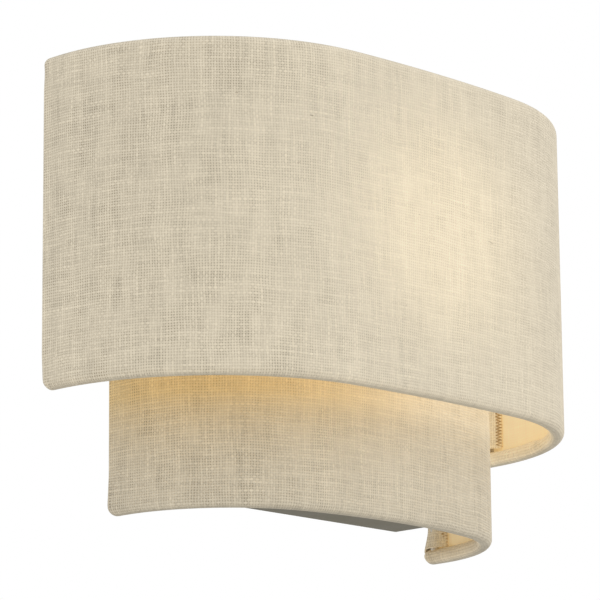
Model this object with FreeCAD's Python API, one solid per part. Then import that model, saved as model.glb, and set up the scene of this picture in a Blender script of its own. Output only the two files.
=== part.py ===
"""Fabric shade wall light: two D-shaped linen tiers that hang on a steel wall box, with a screw-in lamp.

Frame: millimetres, +X to the right, +Y into the wall, +Z up.  The wall is the plane y = 0.
The origin is the middle of the wall strap's two fixing slots, on the wall.
"""

import FreeCAD, Part
import math
import os

from FreeCAD import Vector

# ---- the two tiers of the shade -------------------------------------------------------------
UPPER_WIDTH = 300.0
UPPER_DEPTH = 114.0
UPPER_HEIGHT = 156.0
UPPER_FRONT_RADIUS = 750.0
UPPER_END_GAP = 1.5            # from the wall to the ends of the upper tier
LOWER_WIDTH = 222.0
LOWER_DEPTH = 85.5
LOWER_HEIGHT = 110.0
LOWER_FRONT_RADIUS = 254.0
LOWER_END_GAP = 4.0            # from the wall to the ends of the lower tier
TIER_DROP = 53.0               # the lower tier's rim hangs this far below the upper tier's rim
SIDE_STRAIGHT = 10.0           # both tiers run straight out from the wall this far

# ---- fabric, lining and hems ----------------------------------------------------------------
FABRIC = 0.8
LINING = 0.5
LINING_ROOM = 0.1              # glue line round the lining sheet
ROLL = 7.5                     # width and height of the hem rolled round a ring wire
ROLL_CORNER = 3.0
ROLL_INNER_CORNER = 2.0
HEM_TAPER = 4.0                # above the roll the turned-in cloth thins down to the wall
END_HEM_WIDTH = 18.0           # cloth turned in round an end wire
END_HEM_THICKNESS = 3.6
END_HEM_STOP = 4.5             # the end hem stops this far from the rolls

# ---- wire frame of the shade ----------------------------------------------------------------
RING_WIRE = 3.5
WIRE_ROOM = 0.15               # radial room round a wire in its hem
CROSS_BAR_HEIGHT = 14.0
CROSS_BAR_THICKNESS = 2.0
TONGUE_WIDTH = 14.0
TONGUE_LENGTH = 12.0
TONGUE_SPACING = 110.0
SLOT_ROOM_ALONG = 1.0          # room at each end of a tongue in its slot
SLOT_ROOM_ACROSS = 0.8         # room on each face of a tongue in its slot
REST_GAP = 0.3                 # between parts that part when the shade is lifted
BAR_WINDOW_ROOM = 0.8          # room round the cross bar where it enters an end hem

# ---- wall box and strap ---------------------------------------------------------------------
BOX_WIDTH = 186.0
BOX_HEIGHT = 100.0
BOX_DEPTH = 25.0
BOX_SHEET = 1.2
BOX_CORNER = 6.0
BOX_EDGE = 2.0
BOX_ABOVE_RIM = 15.0           # bottom of the box above the lower tier's rim
STRAP_LENGTH = 150.0
STRAP_HEIGHT = 24.0
STRAP_SHEET = 2.0
STRAP_CORNER = 5.0
WALL_SLOT_SPACING = 70.0
WALL_SLOT_LENGTH = 14.0
WALL_SLOT_WIDTH = 4.6
CABLE_HOLE = 16.0
STUD_SPACING = 124.0
STUD = 4.0
STUD_HOLE_ROOM = 0.35
STUD_PAST_NUT_SEAT = 6.0
WASHER = 10.0
WASHER_SHEET = 0.8
SEAT_GAP = 0.1                 # between the wall box, a washer and its nut
NUT_FLATS = 7.0
NUT_HEX_HEIGHT = 4.0
NUT_DOME_HEIGHT = 3.2
NUT_RUNNING_FIT = 0.05

# ---- lampholder, its arm and its fixings ----------------------------------------------------
LAMP_FROM_WALL = 51.0
LAMP_ABOVE_ARM = 74.0          # centre of the globe above the arm's lower face
ARM_DROP = 4.0                 # lower face of the arm below the middle of the box
ARM_SHEET = 2.0
ARM_WIDTH = 24.0
ARM_FOOT = 22.0
ARM_BEND = 3.0
RIVET = 4.0
RIVET_SPACING = 14.0
RIVET_HEAD = 7.5
RIVET_HEAD_HEIGHT = 1.6
RIVET_ROOM = 0.1
RIVET_ABOVE_ARM = 14.0
NIPPLE = 10.0
NIPPLE_BORE = 7.4
NIPPLE_ROOM = 0.2
NIPPLE_BELOW_ARM = 5.0
NIPPLE_ABOVE_ARM = 9.0
THREAD_ROOM = 0.05
NIPPLE_NUT_FLATS = 14.0
NIPPLE_NUT_HEIGHT = 3.0
HOLDER_RADIUS = 20.5
HOLDER_WALL = 2.0
HOLDER_HEIGHT = 50.0
HOLDER_CAP_HEIGHT = 22.0
HOLDER_CAP_FOOT_RADIUS = 15.0
HOLDER_CAP_FLOOR = 4.0
HOLDER_LAP = 4.0
INSERT_HEIGHT = 6.0
INSERT_WIRE_HOLE = 4.0
CORE_WALL = 2.2
SHELL_WALL = 0.4
CONTACT_SHEET = 0.5
CONTACT_WIDTH = 6.0

# ---- lamp -----------------------------------------------------------------------------------
GLOBE_RADIUS = 22.5
GLOBE_WALL = 1.2
LAMP_LENGTH = 76.0
CAP_RADIUS = 13.1
CAP_WALL = 0.4
CAP_LENGTH = 21.0
CAP_IN_SHELL_ROOM = 0.3
TIP_RADIUS = 4.5
TIP_HEIGHT = 1.5
INSULATOR_HEIGHT = 5.0
INSULATOR_TOP_RADIUS = 12.4
HOUSING_FOOT_RADIUS = 14.0
HOUSING_WALL = 1.6
HOUSING_TOP_BELOW_CENTRE = 12.0
HOUSING_WAIST_HEIGHT = 5.0
LED_BOARD_SHEET = 1.6
LED_BOARD_RADIUS = 14.5
LED_BOARD_ROOM = 0.1
LED_BOARD_LEDGE = 2.0
LED_BOARD_BELOW_SEAM = 1.2

# ---- terminal block, earth and wires --------------------------------------------------------
POLE_SPACING = 10.0
POLE_COUNT = 3
BLOCK_HEIGHT = 18.0
BLOCK_DEPTH = 13.0
BLOCK_ABOVE_MIDDLE = 20.0
BLOCK_END_WALL = 2.0
BARREL = 5.0
BARREL_BORE = 3.0
BARREL_ROOM = 0.05
BARREL_FROM_BACK = 4.8
TERMINAL_SCREW = 2.4
TERMINAL_SCREW_SPACING = 9.0
TERMINAL_SCREW_ROOM = 0.1
BLOCK_SCREW = 2.8
BLOCK_SCREW_ROOM = 0.1
SCREW_HEAD_RATIO = 1.8
EARTH_SCREW = 4.0
EARTH_X = 30.0
EARTH_BELOW_MIDDLE = 14.0
EARTH_HEAD = 7.0
EARTH_HEAD_HEIGHT = 2.4
LUG_RADIUS = 4.2
LUG_SHEET = 0.8
LUG_TAIL = 10.0
LUG_SLEEVE = 3.2
LUG_SLEEVE_LENGTH = 5.0
GROMMET_BELOW_MIDDLE = 26.0
GROMMET_NECK = 11.0
GROMMET_FLANGE = 14.0
GROMMET_FLANGE_SHEET = 1.8
GROMMET_BORE = 7.0
CORE_WIRE = 2.2                # insulated single core
CORE_PAIR_SPACING = 3.2
WIRE_DROP_FROM_WALL = 11.0
WIRE_SAG = 5.0

# ---- heights and depths that follow from the sizes above ------------------------------------
BOX_BOTTOM = -BOX_HEIGHT / 2
BOX_TOP = BOX_HEIGHT / 2
BOX_FRONT = -BOX_DEPTH
BOX_INNER_FRONT = BOX_FRONT + BOX_SHEET
LOWER_BOTTOM = BOX_BOTTOM - BOX_ABOVE_RIM
LOWER_TOP = LOWER_BOTTOM + LOWER_HEIGHT
UPPER_BOTTOM = LOWER_BOTTOM + TIER_DROP
UPPER_TOP = UPPER_BOTTOM + UPPER_HEIGHT
HEM_HEIGHT = ROLL + HEM_TAPER
ARM_BOTTOM = -ARM_DROP
ARM_TOP = ARM_BOTTOM + ARM_SHEET
HOLDER_TOP = ARM_TOP + HOLDER_HEIGHT
GLOBE_CENTRE = ARM_BOTTOM + LAMP_ABOVE_ARM
LAMP_BOTTOM = GLOBE_CENTRE + GLOBE_RADIUS - LAMP_LENGTH
SHELL_RADIUS = CAP_RADIUS + CAP_IN_SHELL_ROOM
BAR_BOTTOM = BOX_TOP + REST_GAP
BAR_TOP = BAR_BOTTOM + CROSS_BAR_HEIGHT
UPPER_WIRE_X = UPPER_WIDTH / 2 - ROLL / 2
LOWER_WIRE_X = LOWER_WIDTH / 2 - ROLL / 2
UPPER_WIRE_Y = -(UPPER_END_GAP + ROLL / 2)
LOWER_WIRE_Y = -(LOWER_END_GAP + ROLL / 2)
BAR_FRONT = LOWER_WIRE_Y + RING_WIRE / 2
BAR_BACK = BAR_FRONT + CROSS_BAR_THICKNESS
LAMP_AXIS = Vector(0, -LAMP_FROM_WALL, 0)
UP = Vector(0, 0, 1)
OUT = Vector(0, -1, 0)         # from the wall into the room


# ---- general shapes -------------------------------------------------------------------------
def outline(corners, place):
    """A closed wire through (u, v, radius) corners, each rounded by its radius, set in space by place(u, v)."""
    count = len(corners)
    ends = []
    for i in range(count):
        before, here, after = corners[i - 1], corners[i], corners[(i + 1) % count]
        point = Vector(here[0], here[1], 0)
        back = Vector(before[0], before[1], 0).sub(point).normalize()
        on = Vector(after[0], after[1], 0).sub(point).normalize()
        half = back.getAngle(on) / 2
        cut = here[2] / math.tan(half) if here[2] > 0 else 0.0
        middle = (back + on).normalize() * (here[2] / math.sin(half) - here[2]) if here[2] > 0 else Vector()
        ends.append((point + back * cut, point + middle, point + on * cut, here[2] > 0))
    edges = []
    for i in range(count):
        start, middle, end, rounded = ends[i]
        if rounded:
            spots = [place(p.x, p.y) for p in (start, middle, end)]
            edges.append(Part.Arc(*spots).toShape())
        following = ends[(i + 1) % count][0]
        if end.distanceToPoint(following) > 1e-6:
            edges.append(Part.LineSegment(place(end.x, end.y), place(following.x, following.y)).toShape())
    return Part.Wire(edges)


def on_floor(height):
    """Places a plan drawing (x, y) at a height."""
    return lambda u, v: Vector(u, v, height)


def on_wall(y):
    """Places an elevation drawing (x, z) at a distance y from the wall plane."""
    return lambda u, v: Vector(u, y, v)


def on_side(x):
    """Places a side drawing (y, z) at a station x."""
    return lambda u, v: Vector(x, u, v)


def on_lamp_axis(radius, height):
    """Places a half section (radius, height) beside the lamp's upright axis."""
    return LAMP_AXIS + Vector(radius, 0, height)


def box(x0, x1, y0, y1, z0, z1):
    """A block between two corners."""
    return Part.makeBox(x1 - x0, y1 - y0, z1 - z0, Vector(x0, y0, z0))


def rod(radius, start, end):
    """A round rod between two points."""
    return Part.makeCylinder(radius, start.distanceToPoint(end), start, end - start)


def tube(outer, inner, start, end):
    """A round tube between two points."""
    return rod(outer, start, end).cut(rod(inner, start, end))


def turned(corners):
    """A body of revolution about the lamp's axis from a half section of (radius, height, corner radius)."""
    face = Part.Face(outline(corners, on_lamp_axis))
    return solid_of(face.revolve(LAMP_AXIS, UP, 360))


def hexagon(flats, start, direction, height):
    """A hexagonal prism with one corner straight along +X from its axis."""
    side = direction.cross(Vector(1, 0, 0))
    corner = flats / math.sqrt(3)
    points = []
    for i in range(6):
        turn = math.radians(60 * i)
        points.append(start + Vector(1, 0, 0) * (corner * math.cos(turn)) + side * (corner * math.sin(turn)))
    return solid_of(Part.Face(Part.makePolygon(points + points[:1])).extrude(direction * height))


def solid_of(shape):
    """The shape's single solid, facing outwards."""
    solid = shape.Solids[0]
    if solid.Volume < 0:
        solid.reverse()
    return solid


def both_sides(maker):
    """Two copies of a piece, made by maker(side) for the right and the left."""
    return Part.makeCompound([maker(side) for side in (1, -1)])


def joined(pieces):
    """Pieces that meet face to face, as one solid."""
    return solid_of(pieces[0].multiFuse(pieces[1:]).removeSplitter())


# ---- the plan curve of a tier ---------------------------------------------------------------
class Tier:
    """A tier's plan curve runs from its right end round the front to its left end, through five stretches:
    straight side, corner arc, front arc, corner arc, straight side.  Neighbours share their tangent."""

    def __init__(self, width, depth, front_radius, end_gap, bottom, top):
        self.half = width / 2
        self.end_gap = end_gap
        self.bottom = bottom
        self.top = top
        reach = depth - SIDE_STRAIGHT
        self.front_radius = front_radius
        self.corner_radius = (
            (2 * front_radius * reach - self.half ** 2 - reach ** 2) / (2 * (front_radius - self.half))
        )
        inset = self.half - self.corner_radius
        self.corner_turn = math.acos(inset / (front_radius - self.corner_radius))
        front_centre = front_radius - depth
        turn = self.corner_turn
        self.stretches = [
            ("line", Vector(self.half, -end_gap, 0), Vector(0, -1, 0), SIDE_STRAIGHT - end_gap),
            ("arc", Vector(inset, -SIDE_STRAIGHT, 0), self.corner_radius, 0.0, turn),
            ("arc", Vector(0, front_centre, 0), front_radius, -turn, math.pi - 2 * turn),
            ("arc", Vector(-inset, -SIDE_STRAIGHT, 0), self.corner_radius, turn - math.pi, turn),
            ("line", Vector(-self.half, -SIDE_STRAIGHT, 0), Vector(0, 1, 0), SIDE_STRAIGHT - end_gap),
        ]
        self.length = sum(stretch_length(s) for s in self.stretches)

    def between(self, first, last):
        """The stretches from first to last, two lengths along the curve."""
        kept = []
        start = 0.0
        for stretch in self.stretches:
            end = start + stretch_length(stretch)
            low, high = max(first, start), min(last, end)
            if high - low > 1e-6:
                kept.append(cut_stretch(stretch, low - start, high - start))
            start = end
        return kept


def stretch_length(stretch):
    """Length of one stretch of a plan curve."""
    if stretch[0] == "line":
        return stretch[3]
    return stretch[2] * stretch[4]


def cut_stretch(stretch, low, high):
    """The stretch between two lengths along it."""
    if stretch[0] == "line":
        kind, start, heading, length = stretch
        return (kind, start + heading * low, heading, high - low)
    kind, centre, radius, angle, sweep = stretch
    return (kind, centre, radius, angle - low / radius, (high - low) / radius)


def carried(section, stretches):
    """A section carried along a plan curve.  section(place) makes its face in (inward distance, height)."""
    pieces = []
    for stretch in stretches:
        if stretch[0] == "line":
            kind, start, heading, length = stretch
            inward = UP.cross(heading) * -1
            face = section(lambda n, z, p=start, i=inward: p + i * n + UP * z)
            pieces.append(solid_of(face.extrude(heading * length)))
            continue
        kind, centre, radius, angle, sweep = stretch
        outward = Vector(math.cos(angle), math.sin(angle), 0)
        face = section(lambda n, z, c=centre, o=outward, r=radius: c + o * (r - n) + UP * z)
        pieces.append(solid_of(face.revolve(centre, UP * -1, math.degrees(sweep))))
    if len(pieces) == 1:
        return pieces[0]
    return joined(pieces)


def plain_section(corners):
    """A section bounded by (inward, height, radius) corners."""
    return lambda place: Part.Face(outline(corners, place))


def round_section(radius, inward, height):
    """A round section about one point."""
    def made(place):
        centre = place(inward, height)
        normal = (place(inward + 1, height) - centre).cross(UP)
        return Part.Face(Part.Wire(Part.makeCircle(radius, centre, normal)))
    return made


# ---- pieces of one tier ---------------------------------------------------------------------
def cover_wall(tier):
    """Cloth wall with its top and bottom edges rolled inwards round the ring wires."""
    low, high = tier.bottom, tier.top
    corners = [
        (0, low, ROLL_CORNER),
        (ROLL, low, ROLL_CORNER),
        (ROLL, low + ROLL, ROLL_INNER_CORNER),
        (FABRIC, low + HEM_HEIGHT, 0),
        (FABRIC, high - HEM_HEIGHT, 0),
        (ROLL, high - ROLL, ROLL_INNER_CORNER),
        (ROLL, high, ROLL_CORNER),
        (0, high, ROLL_CORNER),
    ]
    return carried(plain_section(corners), tier.between(0, tier.length))


def end_hem(tier, right):
    """Cloth turned in round an end wire: a thick roll at the end, then a flap along the inner face."""
    low = tier.bottom + ROLL + END_HEM_STOP
    high = tier.top - ROLL - END_HEM_STOP
    overlap = FABRIC / 2
    roll = [(overlap, low, 0), (ROLL, low, 0), (ROLL, high, 0), (overlap, high, 0)]
    flap = [(overlap, low, 0), (END_HEM_THICKNESS, low, 0), (END_HEM_THICKNESS, high, 0), (overlap, high, 0)]
    if right:
        spans = [(0, ROLL), (ROLL, END_HEM_WIDTH)]
    else:
        spans = [(tier.length - ROLL, tier.length), (tier.length - END_HEM_WIDTH, tier.length - ROLL)]
    return [
        carried(plain_section(roll), tier.between(*spans[0])),
        carried(plain_section(flap), tier.between(*spans[1])),
    ]


def ring_height(tier, upper):
    """Height of a ring wire's centre inside its roll."""
    return tier.top - ROLL / 2 if upper else tier.bottom + ROLL / 2


def ring_wire(tier, upper, radius):
    """The C-shaped ring wire, from one end wire to the other, or the room that it lies in."""
    section = round_section(radius, ROLL / 2, ring_height(tier, upper))
    return carried(section, tier.between(ROLL / 2, tier.length - ROLL / 2))


def end_wire(tier, side, radius, top):
    """An upright wire at one end of a tier, from its bottom ring to a given height."""
    x = side * (tier.half - ROLL / 2)
    y = -(tier.end_gap + ROLL / 2)
    bottom = ring_height(tier, False) - radius
    return rod(radius, Vector(x, y, bottom), Vector(x, y, top))


def end_wires(tier, top):
    """Both end wires."""
    return both_sides(lambda side: end_wire(tier, side, RING_WIRE / 2, top))


def ring(tier, upper, uprights):
    """A ring wire whose ends are shaped to the end wires that they are welded to."""
    return solid_of(ring_wire(tier, upper, RING_WIRE / 2).cut(uprights))


def cover(tier, wire_top):
    """The cloth cover: wall, rolled edges and end hems, less the room for the wires and the cross bar."""
    cloth = joined([cover_wall(tier)] + end_hem(tier, True) + end_hem(tier, False))
    room = RING_WIRE / 2 + WIRE_ROOM
    tools = [ring_wire(tier, upper, room) for upper in (True, False)]
    tools += [end_wire(tier, side, room, wire_top + WIRE_ROOM) for side in (1, -1)]
    tools.append(bar_room())
    return solid_of(cloth.cut(tools))


def lining(tier):
    """The stiff lining sheet behind the cloth, between the rolled edges and the end hems."""
    low = tier.bottom + HEM_HEIGHT + LINING_ROOM
    high = tier.top - HEM_HEIGHT - LINING_ROOM
    front = FABRIC + LINING_ROOM
    end = END_HEM_WIDTH + LINING_ROOM
    corners = [(front, low, 0), (front + LINING, low, 0), (front + LINING, high, 0), (front, high, 0)]
    return carried(plain_section(corners), tier.between(end, tier.length - end))


def bar_room():
    """Room for the cross bar wherever it meets cloth: a window in each end hem that reaches its height."""
    return box(
        -UPPER_WIRE_X, UPPER_WIRE_X,
        BAR_FRONT - BAR_WINDOW_ROOM, BAR_BACK + BAR_WINDOW_ROOM,
        BAR_BOTTOM - BAR_WINDOW_ROOM, BAR_TOP + BAR_WINDOW_ROOM,
    )


def cross_bar(uprights):
    """Flat bar welded to all four end wires behind the shade, with two tongues that hang it on the wall box."""
    bar = box(-UPPER_WIRE_X, UPPER_WIRE_X, BAR_FRONT, BAR_BACK, BAR_BOTTOM, BAR_TOP)
    tongues = []
    for side in (1, -1):
        middle = side * TONGUE_SPACING / 2
        left, right = middle - TONGUE_WIDTH / 2, middle + TONGUE_WIDTH / 2
        tongues.append(box(left, right, BAR_FRONT, BAR_BACK, BAR_BOTTOM - TONGUE_LENGTH, BAR_BOTTOM))
    return solid_of(joined([bar] + tongues).cut(uprights))


# ---- wall side ------------------------------------------------------------------------------
def rounded_plate(width, height, corner, y, depth):
    """A plate with rounded corners that stands in front of the plane y by depth."""
    w, h = width / 2, height / 2
    corners = [(-w, -h, corner), (w, -h, corner), (w, h, corner), (-w, h, corner)]
    return solid_of(Part.Face(outline(corners, on_wall(y))).extrude(OUT * depth))


def front_edges(shape, y):
    """The edges of a shape that lie in the plane y."""
    return [e for e in shape.Edges if all(abs(v.Point.y - y) < 1e-4 for v in e.Vertexes)]


def hole_through_front(radius, x, z):
    """A round hole through the front sheet of the wall box."""
    return rod(radius, Vector(x, BOX_INNER_FRONT + BOX_SHEET, z), Vector(x, BOX_FRONT - BOX_SHEET, z))


def wall_box():
    """Pressed steel box, open to the wall, that carries the shade and the lampholder."""
    outside = rounded_plate(BOX_WIDTH, BOX_HEIGHT, BOX_CORNER, 0, BOX_DEPTH)
    outside = outside.makeFillet(BOX_EDGE, front_edges(outside, BOX_FRONT))
    inner_width, inner_height = BOX_WIDTH - 2 * BOX_SHEET, BOX_HEIGHT - 2 * BOX_SHEET
    inside = rounded_plate(inner_width, inner_height, BOX_CORNER - BOX_SHEET, 0, BOX_DEPTH - BOX_SHEET)
    inside = inside.makeFillet(BOX_EDGE - BOX_SHEET, front_edges(inside, BOX_INNER_FRONT))
    tools = [inside, hole_through_front(GROMMET_NECK / 2, 0, -GROMMET_BELOW_MIDDLE)]
    tools.append(hole_through_front(EARTH_SCREW / 2, EARTH_X, -EARTH_BELOW_MIDDLE))
    for side in (1, -1):
        tools.append(hole_through_front(STUD / 2 + STUD_HOLE_ROOM, side * STUD_SPACING / 2, 0))
        tools.append(hole_through_front(RIVET / 2, side * RIVET_SPACING / 2, ARM_BOTTOM + RIVET_ABOVE_ARM))
        tools.append(hole_through_front(BLOCK_SCREW / 2, side * POLE_SPACING / 2, block_middle()))
        tools.append(tongue_slot(side))
    return solid_of(outside.cut(tools))


def tongue_slot(side):
    """Slot in the top of the wall box that takes one tongue of the cross bar."""
    middle = side * TONGUE_SPACING / 2
    reach = TONGUE_WIDTH / 2 + SLOT_ROOM_ALONG
    return box(
        middle - reach, middle + reach,
        BAR_FRONT - SLOT_ROOM_ACROSS, BAR_BACK + SLOT_ROOM_ACROSS,
        BOX_TOP - 2 * BOX_SHEET, BOX_TOP + BOX_SHEET,
    )


def wall_strap():
    """Flat steel strap screwed to the wall through two slots, with the mains cable's hole in its middle."""
    strap = rounded_plate(STRAP_LENGTH, STRAP_HEIGHT, STRAP_CORNER, 0, STRAP_SHEET)
    slot_radius = WALL_SLOT_WIDTH / 2
    tools = [rod(CABLE_HOLE / 2, Vector(0, STRAP_SHEET, 0), Vector(0, -2 * STRAP_SHEET, 0))]
    for side in (1, -1):
        middle = side * WALL_SLOT_SPACING / 2
        half = WALL_SLOT_LENGTH / 2
        corners = [
            (middle - half, -slot_radius, slot_radius),
            (middle + half, -slot_radius, slot_radius),
            (middle + half, slot_radius, slot_radius),
            (middle - half, slot_radius, slot_radius),
        ]
        tools.append(solid_of(Part.Face(outline(corners, on_wall(STRAP_SHEET))).extrude(OUT * 3 * STRAP_SHEET)))
    return solid_of(strap.cut(tools))


def washer_seat():
    """Distance of a washer's back face from the wall plane."""
    return BOX_FRONT - SEAT_GAP


def nut_seat():
    """Distance of a cap nut's back face from the wall plane."""
    return washer_seat() - WASHER_SHEET - SEAT_GAP


def stud(side):
    """Stud welded to the strap, which comes through the front of the wall box."""
    x = side * STUD_SPACING / 2
    return rod(STUD / 2, Vector(x, -STRAP_SHEET, 0), Vector(x, nut_seat() - STUD_PAST_NUT_SEAT, 0))


def washer(side):
    """Washer under a cap nut."""
    x = side * STUD_SPACING / 2
    back = Vector(x, washer_seat(), 0)
    return tube(WASHER / 2, STUD / 2 + NUT_RUNNING_FIT, back, back + OUT * WASHER_SHEET)


def cap_nut(side):
    """Domed cap nut: a hexagon with a turned dome and a blind bore."""
    x = side * STUD_SPACING / 2
    back = Vector(x, nut_seat(), 0)
    shoulder = back + OUT * NUT_HEX_HEIGHT
    dome_radius = NUT_FLATS / 2
    rise = NUT_DOME_HEIGHT
    sphere_radius = (dome_radius ** 2 + rise ** 2) / (2 * rise)
    ball = Part.makeSphere(sphere_radius, shoulder + OUT * (rise - sphere_radius))
    dome = ball.common(rod(dome_radius, shoulder, shoulder + OUT * (2 * rise)))
    bore_end = back + OUT * (STUD_PAST_NUT_SEAT + SEAT_GAP)
    body = joined([hexagon(NUT_FLATS, back, OUT, NUT_HEX_HEIGHT), dome])
    return solid_of(body.cut(rod(STUD / 2 + NUT_RUNNING_FIT, back, bore_end)))


# ---- lampholder -----------------------------------------------------------------------------
def lampholder_arm():
    """Bent strip riveted to the wall box, whose level leg carries the lampholder."""
    reach = BOX_FRONT - ARM_SHEET
    tip = -(LAMP_FROM_WALL + ARM_WIDTH / 2)
    foot_top = ARM_BOTTOM + ARM_FOOT
    corners = [
        (BOX_FRONT, foot_top, 0),
        (BOX_FRONT, ARM_BOTTOM, ARM_BEND),
        (tip, ARM_BOTTOM, 0),
        (tip, ARM_TOP, 0),
        (reach, ARM_TOP, ARM_BEND - ARM_SHEET),
        (reach, foot_top, 0),
    ]
    strip = solid_of(Part.Face(outline(corners, on_side(-ARM_WIDTH / 2))).extrude(Vector(ARM_WIDTH, 0, 0)))
    end_round = rod(ARM_WIDTH / 2, LAMP_AXIS + UP * ARM_BOTTOM, LAMP_AXIS + UP * ARM_TOP)
    blunt = box(-ARM_WIDTH, ARM_WIDTH, 2 * tip, -LAMP_FROM_WALL, ARM_BOTTOM, ARM_TOP)
    strip = joined([solid_of(strip.cut(blunt)), end_round])
    tools = [rod(NIPPLE / 2 + NIPPLE_ROOM, LAMP_AXIS + UP * (ARM_BOTTOM - 1), LAMP_AXIS + UP * (ARM_TOP + 1))]
    for side in (1, -1):
        tools.append(hole_through_arm(side))
    return solid_of(strip.cut(tools))


def hole_through_arm(side):
    """Rivet hole through the arm's upright leg."""
    x, z = side * RIVET_SPACING / 2, ARM_BOTTOM + RIVET_ABOVE_ARM
    return rod(RIVET / 2, Vector(x, BOX_FRONT + 1, z), Vector(x, BOX_FRONT - ARM_SHEET - 1, z))


def arm_rivet(side):
    """Rivet that clamps the arm to the wall box."""
    x, z = side * RIVET_SPACING / 2, ARM_BOTTOM + RIVET_ABOVE_ARM
    outer = Vector(x, BOX_FRONT - ARM_SHEET, z)
    inner = Vector(x, BOX_INNER_FRONT, z)
    shank = rod(RIVET / 2, inner, outer)
    heads = [rod(RIVET_HEAD / 2, outer, outer + OUT * RIVET_HEAD_HEIGHT)]
    heads.append(rod(RIVET_HEAD / 2, inner - OUT * RIVET_HEAD_HEIGHT, inner))
    return joined([shank] + heads)


def holder_nipple():
    """Hollow threaded tube through the arm, which holds the lampholder and passes its wires."""
    low = LAMP_AXIS + UP * (ARM_BOTTOM - NIPPLE_BELOW_ARM)
    return tube(NIPPLE / 2, NIPPLE_BORE / 2, low, LAMP_AXIS + UP * (ARM_TOP + NIPPLE_ABOVE_ARM))


def nipple_nut():
    """Hexagon nut under the arm."""
    bottom = LAMP_AXIS + UP * (ARM_BOTTOM - NIPPLE_NUT_HEIGHT)
    body = hexagon(NIPPLE_NUT_FLATS, bottom, UP, NIPPLE_NUT_HEIGHT)
    return solid_of(body.cut(rod(NIPPLE / 2 + THREAD_ROOM, bottom - UP, LAMP_AXIS + UP * (ARM_BOTTOM + 1))))


def holder_cap():
    """Lower cup of the lampholder, screwed on the nipple."""
    top = ARM_TOP + HOLDER_CAP_HEIGHT
    rim = HOLDER_RADIUS - HOLDER_WALL
    bore = NIPPLE / 2 + THREAD_ROOM
    return turned([
        (bore, ARM_TOP, 0),
        (HOLDER_CAP_FOOT_RADIUS, ARM_TOP, 1.5),
        (rim, ARM_TOP + HOLDER_CAP_HEIGHT / 2, 2.0),
        (rim, top, 0),
        (rim - HOLDER_WALL, top, 0),
        (rim - HOLDER_WALL, ARM_TOP + HOLDER_CAP_HEIGHT / 2, 1.0),
        (HOLDER_CAP_FOOT_RADIUS - HOLDER_WALL, ARM_TOP + HOLDER_CAP_FLOOR, 0.5),
        (bore, ARM_TOP + HOLDER_CAP_FLOOR, 0),
    ])


def holder_sleeve():
    """Outer sleeve of the lampholder, which laps the cup and surrounds the lamp's cap."""
    bottom = ARM_TOP + HOLDER_CAP_HEIGHT - HOLDER_LAP
    inner = HOLDER_RADIUS - HOLDER_WALL
    return turned([
        (inner, bottom, 0),
        (HOLDER_RADIUS, bottom, 1.0),
        (HOLDER_RADIUS, HOLDER_TOP, 1.0),
        (inner, HOLDER_TOP, 0),
    ])


def core_bottom():
    """Height of the foot of the lampholder's core, which is the top of its insert."""
    return LAMP_BOTTOM - CONTACT_SHEET - REST_GAP


def holder_insert():
    """Insulating disc across the cup that carries the contacts and the wire ends."""
    low, high = core_bottom() - INSERT_HEIGHT, core_bottom()
    rim = HOLDER_RADIUS - 2 * HOLDER_WALL
    disc = rod(rim, LAMP_AXIS + UP * low, LAMP_AXIS + UP * high)
    holes = []
    for side in (1, -1):
        spot = LAMP_AXIS + Vector(side * CORE_PAIR_SPACING / 2, 0, 0)
        holes.append(rod(CORE_WIRE / 2, spot + UP * (low - 1), spot + UP * (low + INSERT_WIRE_HOLE)))
    return solid_of(disc.cut(holes))


def holder_core():
    """Insulating tube inside the sleeve that backs the threaded shell, with a flange on the sleeve."""
    inner = SHELL_RADIUS + SHELL_WALL
    outer = inner + CORE_WALL
    bore = HOLDER_RADIUS - HOLDER_WALL
    top = cap_top() - REST_GAP
    flange_bottom = ARM_TOP + HOLDER_CAP_HEIGHT
    flange_top = flange_bottom + HOLDER_WALL
    return turned([
        (inner, core_bottom(), 0),
        (outer, core_bottom(), 0),
        (outer, flange_bottom, 0),
        (bore, flange_bottom, 0),
        (bore, flange_top, 0),
        (outer, flange_top, 0),
        (outer, top, 0),
        (inner, top, 0),
    ])


def screw_shell():
    """Threaded metal shell that the lamp's cap screws into, at its mean diameter."""
    low = LAMP_AXIS + UP * (core_bottom() + CONTACT_SHEET)
    high = LAMP_AXIS + UP * (cap_top() - REST_GAP)
    return tube(SHELL_RADIUS + SHELL_WALL, SHELL_RADIUS, low, high)


def centre_contact():
    """Spring strip on the insert, just under the lamp's tip."""
    reach = SHELL_RADIUS - CONTACT_SHEET
    y = -LAMP_FROM_WALL
    return box(
        -reach, CONTACT_WIDTH, y - CONTACT_WIDTH / 2, y + CONTACT_WIDTH / 2,
        core_bottom(), core_bottom() + CONTACT_SHEET,
    )


# ---- lamp -----------------------------------------------------------------------------------
def lamp_tip():
    """Centre contact of the lamp."""
    bottom = LAMP_AXIS + UP * LAMP_BOTTOM
    return rod(TIP_RADIUS, bottom, bottom + UP * TIP_HEIGHT)


def lamp_insulator():
    """Insulating cone between the tip and the cap."""
    low = LAMP_BOTTOM + TIP_HEIGHT
    high = low + INSULATOR_HEIGHT
    return turned([
        (0, low, 0),
        (TIP_RADIUS, low, 0),
        (INSULATOR_TOP_RADIUS, high, 0),
        (0, high, 0),
    ])


def cap_top():
    """Height of the seam between the lamp's cap and its housing."""
    return LAMP_BOTTOM + TIP_HEIGHT + INSULATOR_HEIGHT + CAP_LENGTH


def lamp_cap():
    """Screw cap of the lamp, at the mean diameter of its thread."""
    low, high = LAMP_AXIS + UP * (cap_top() - CAP_LENGTH), LAMP_AXIS + UP * cap_top()
    return tube(CAP_RADIUS, CAP_RADIUS - CAP_WALL, low, high)


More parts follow.
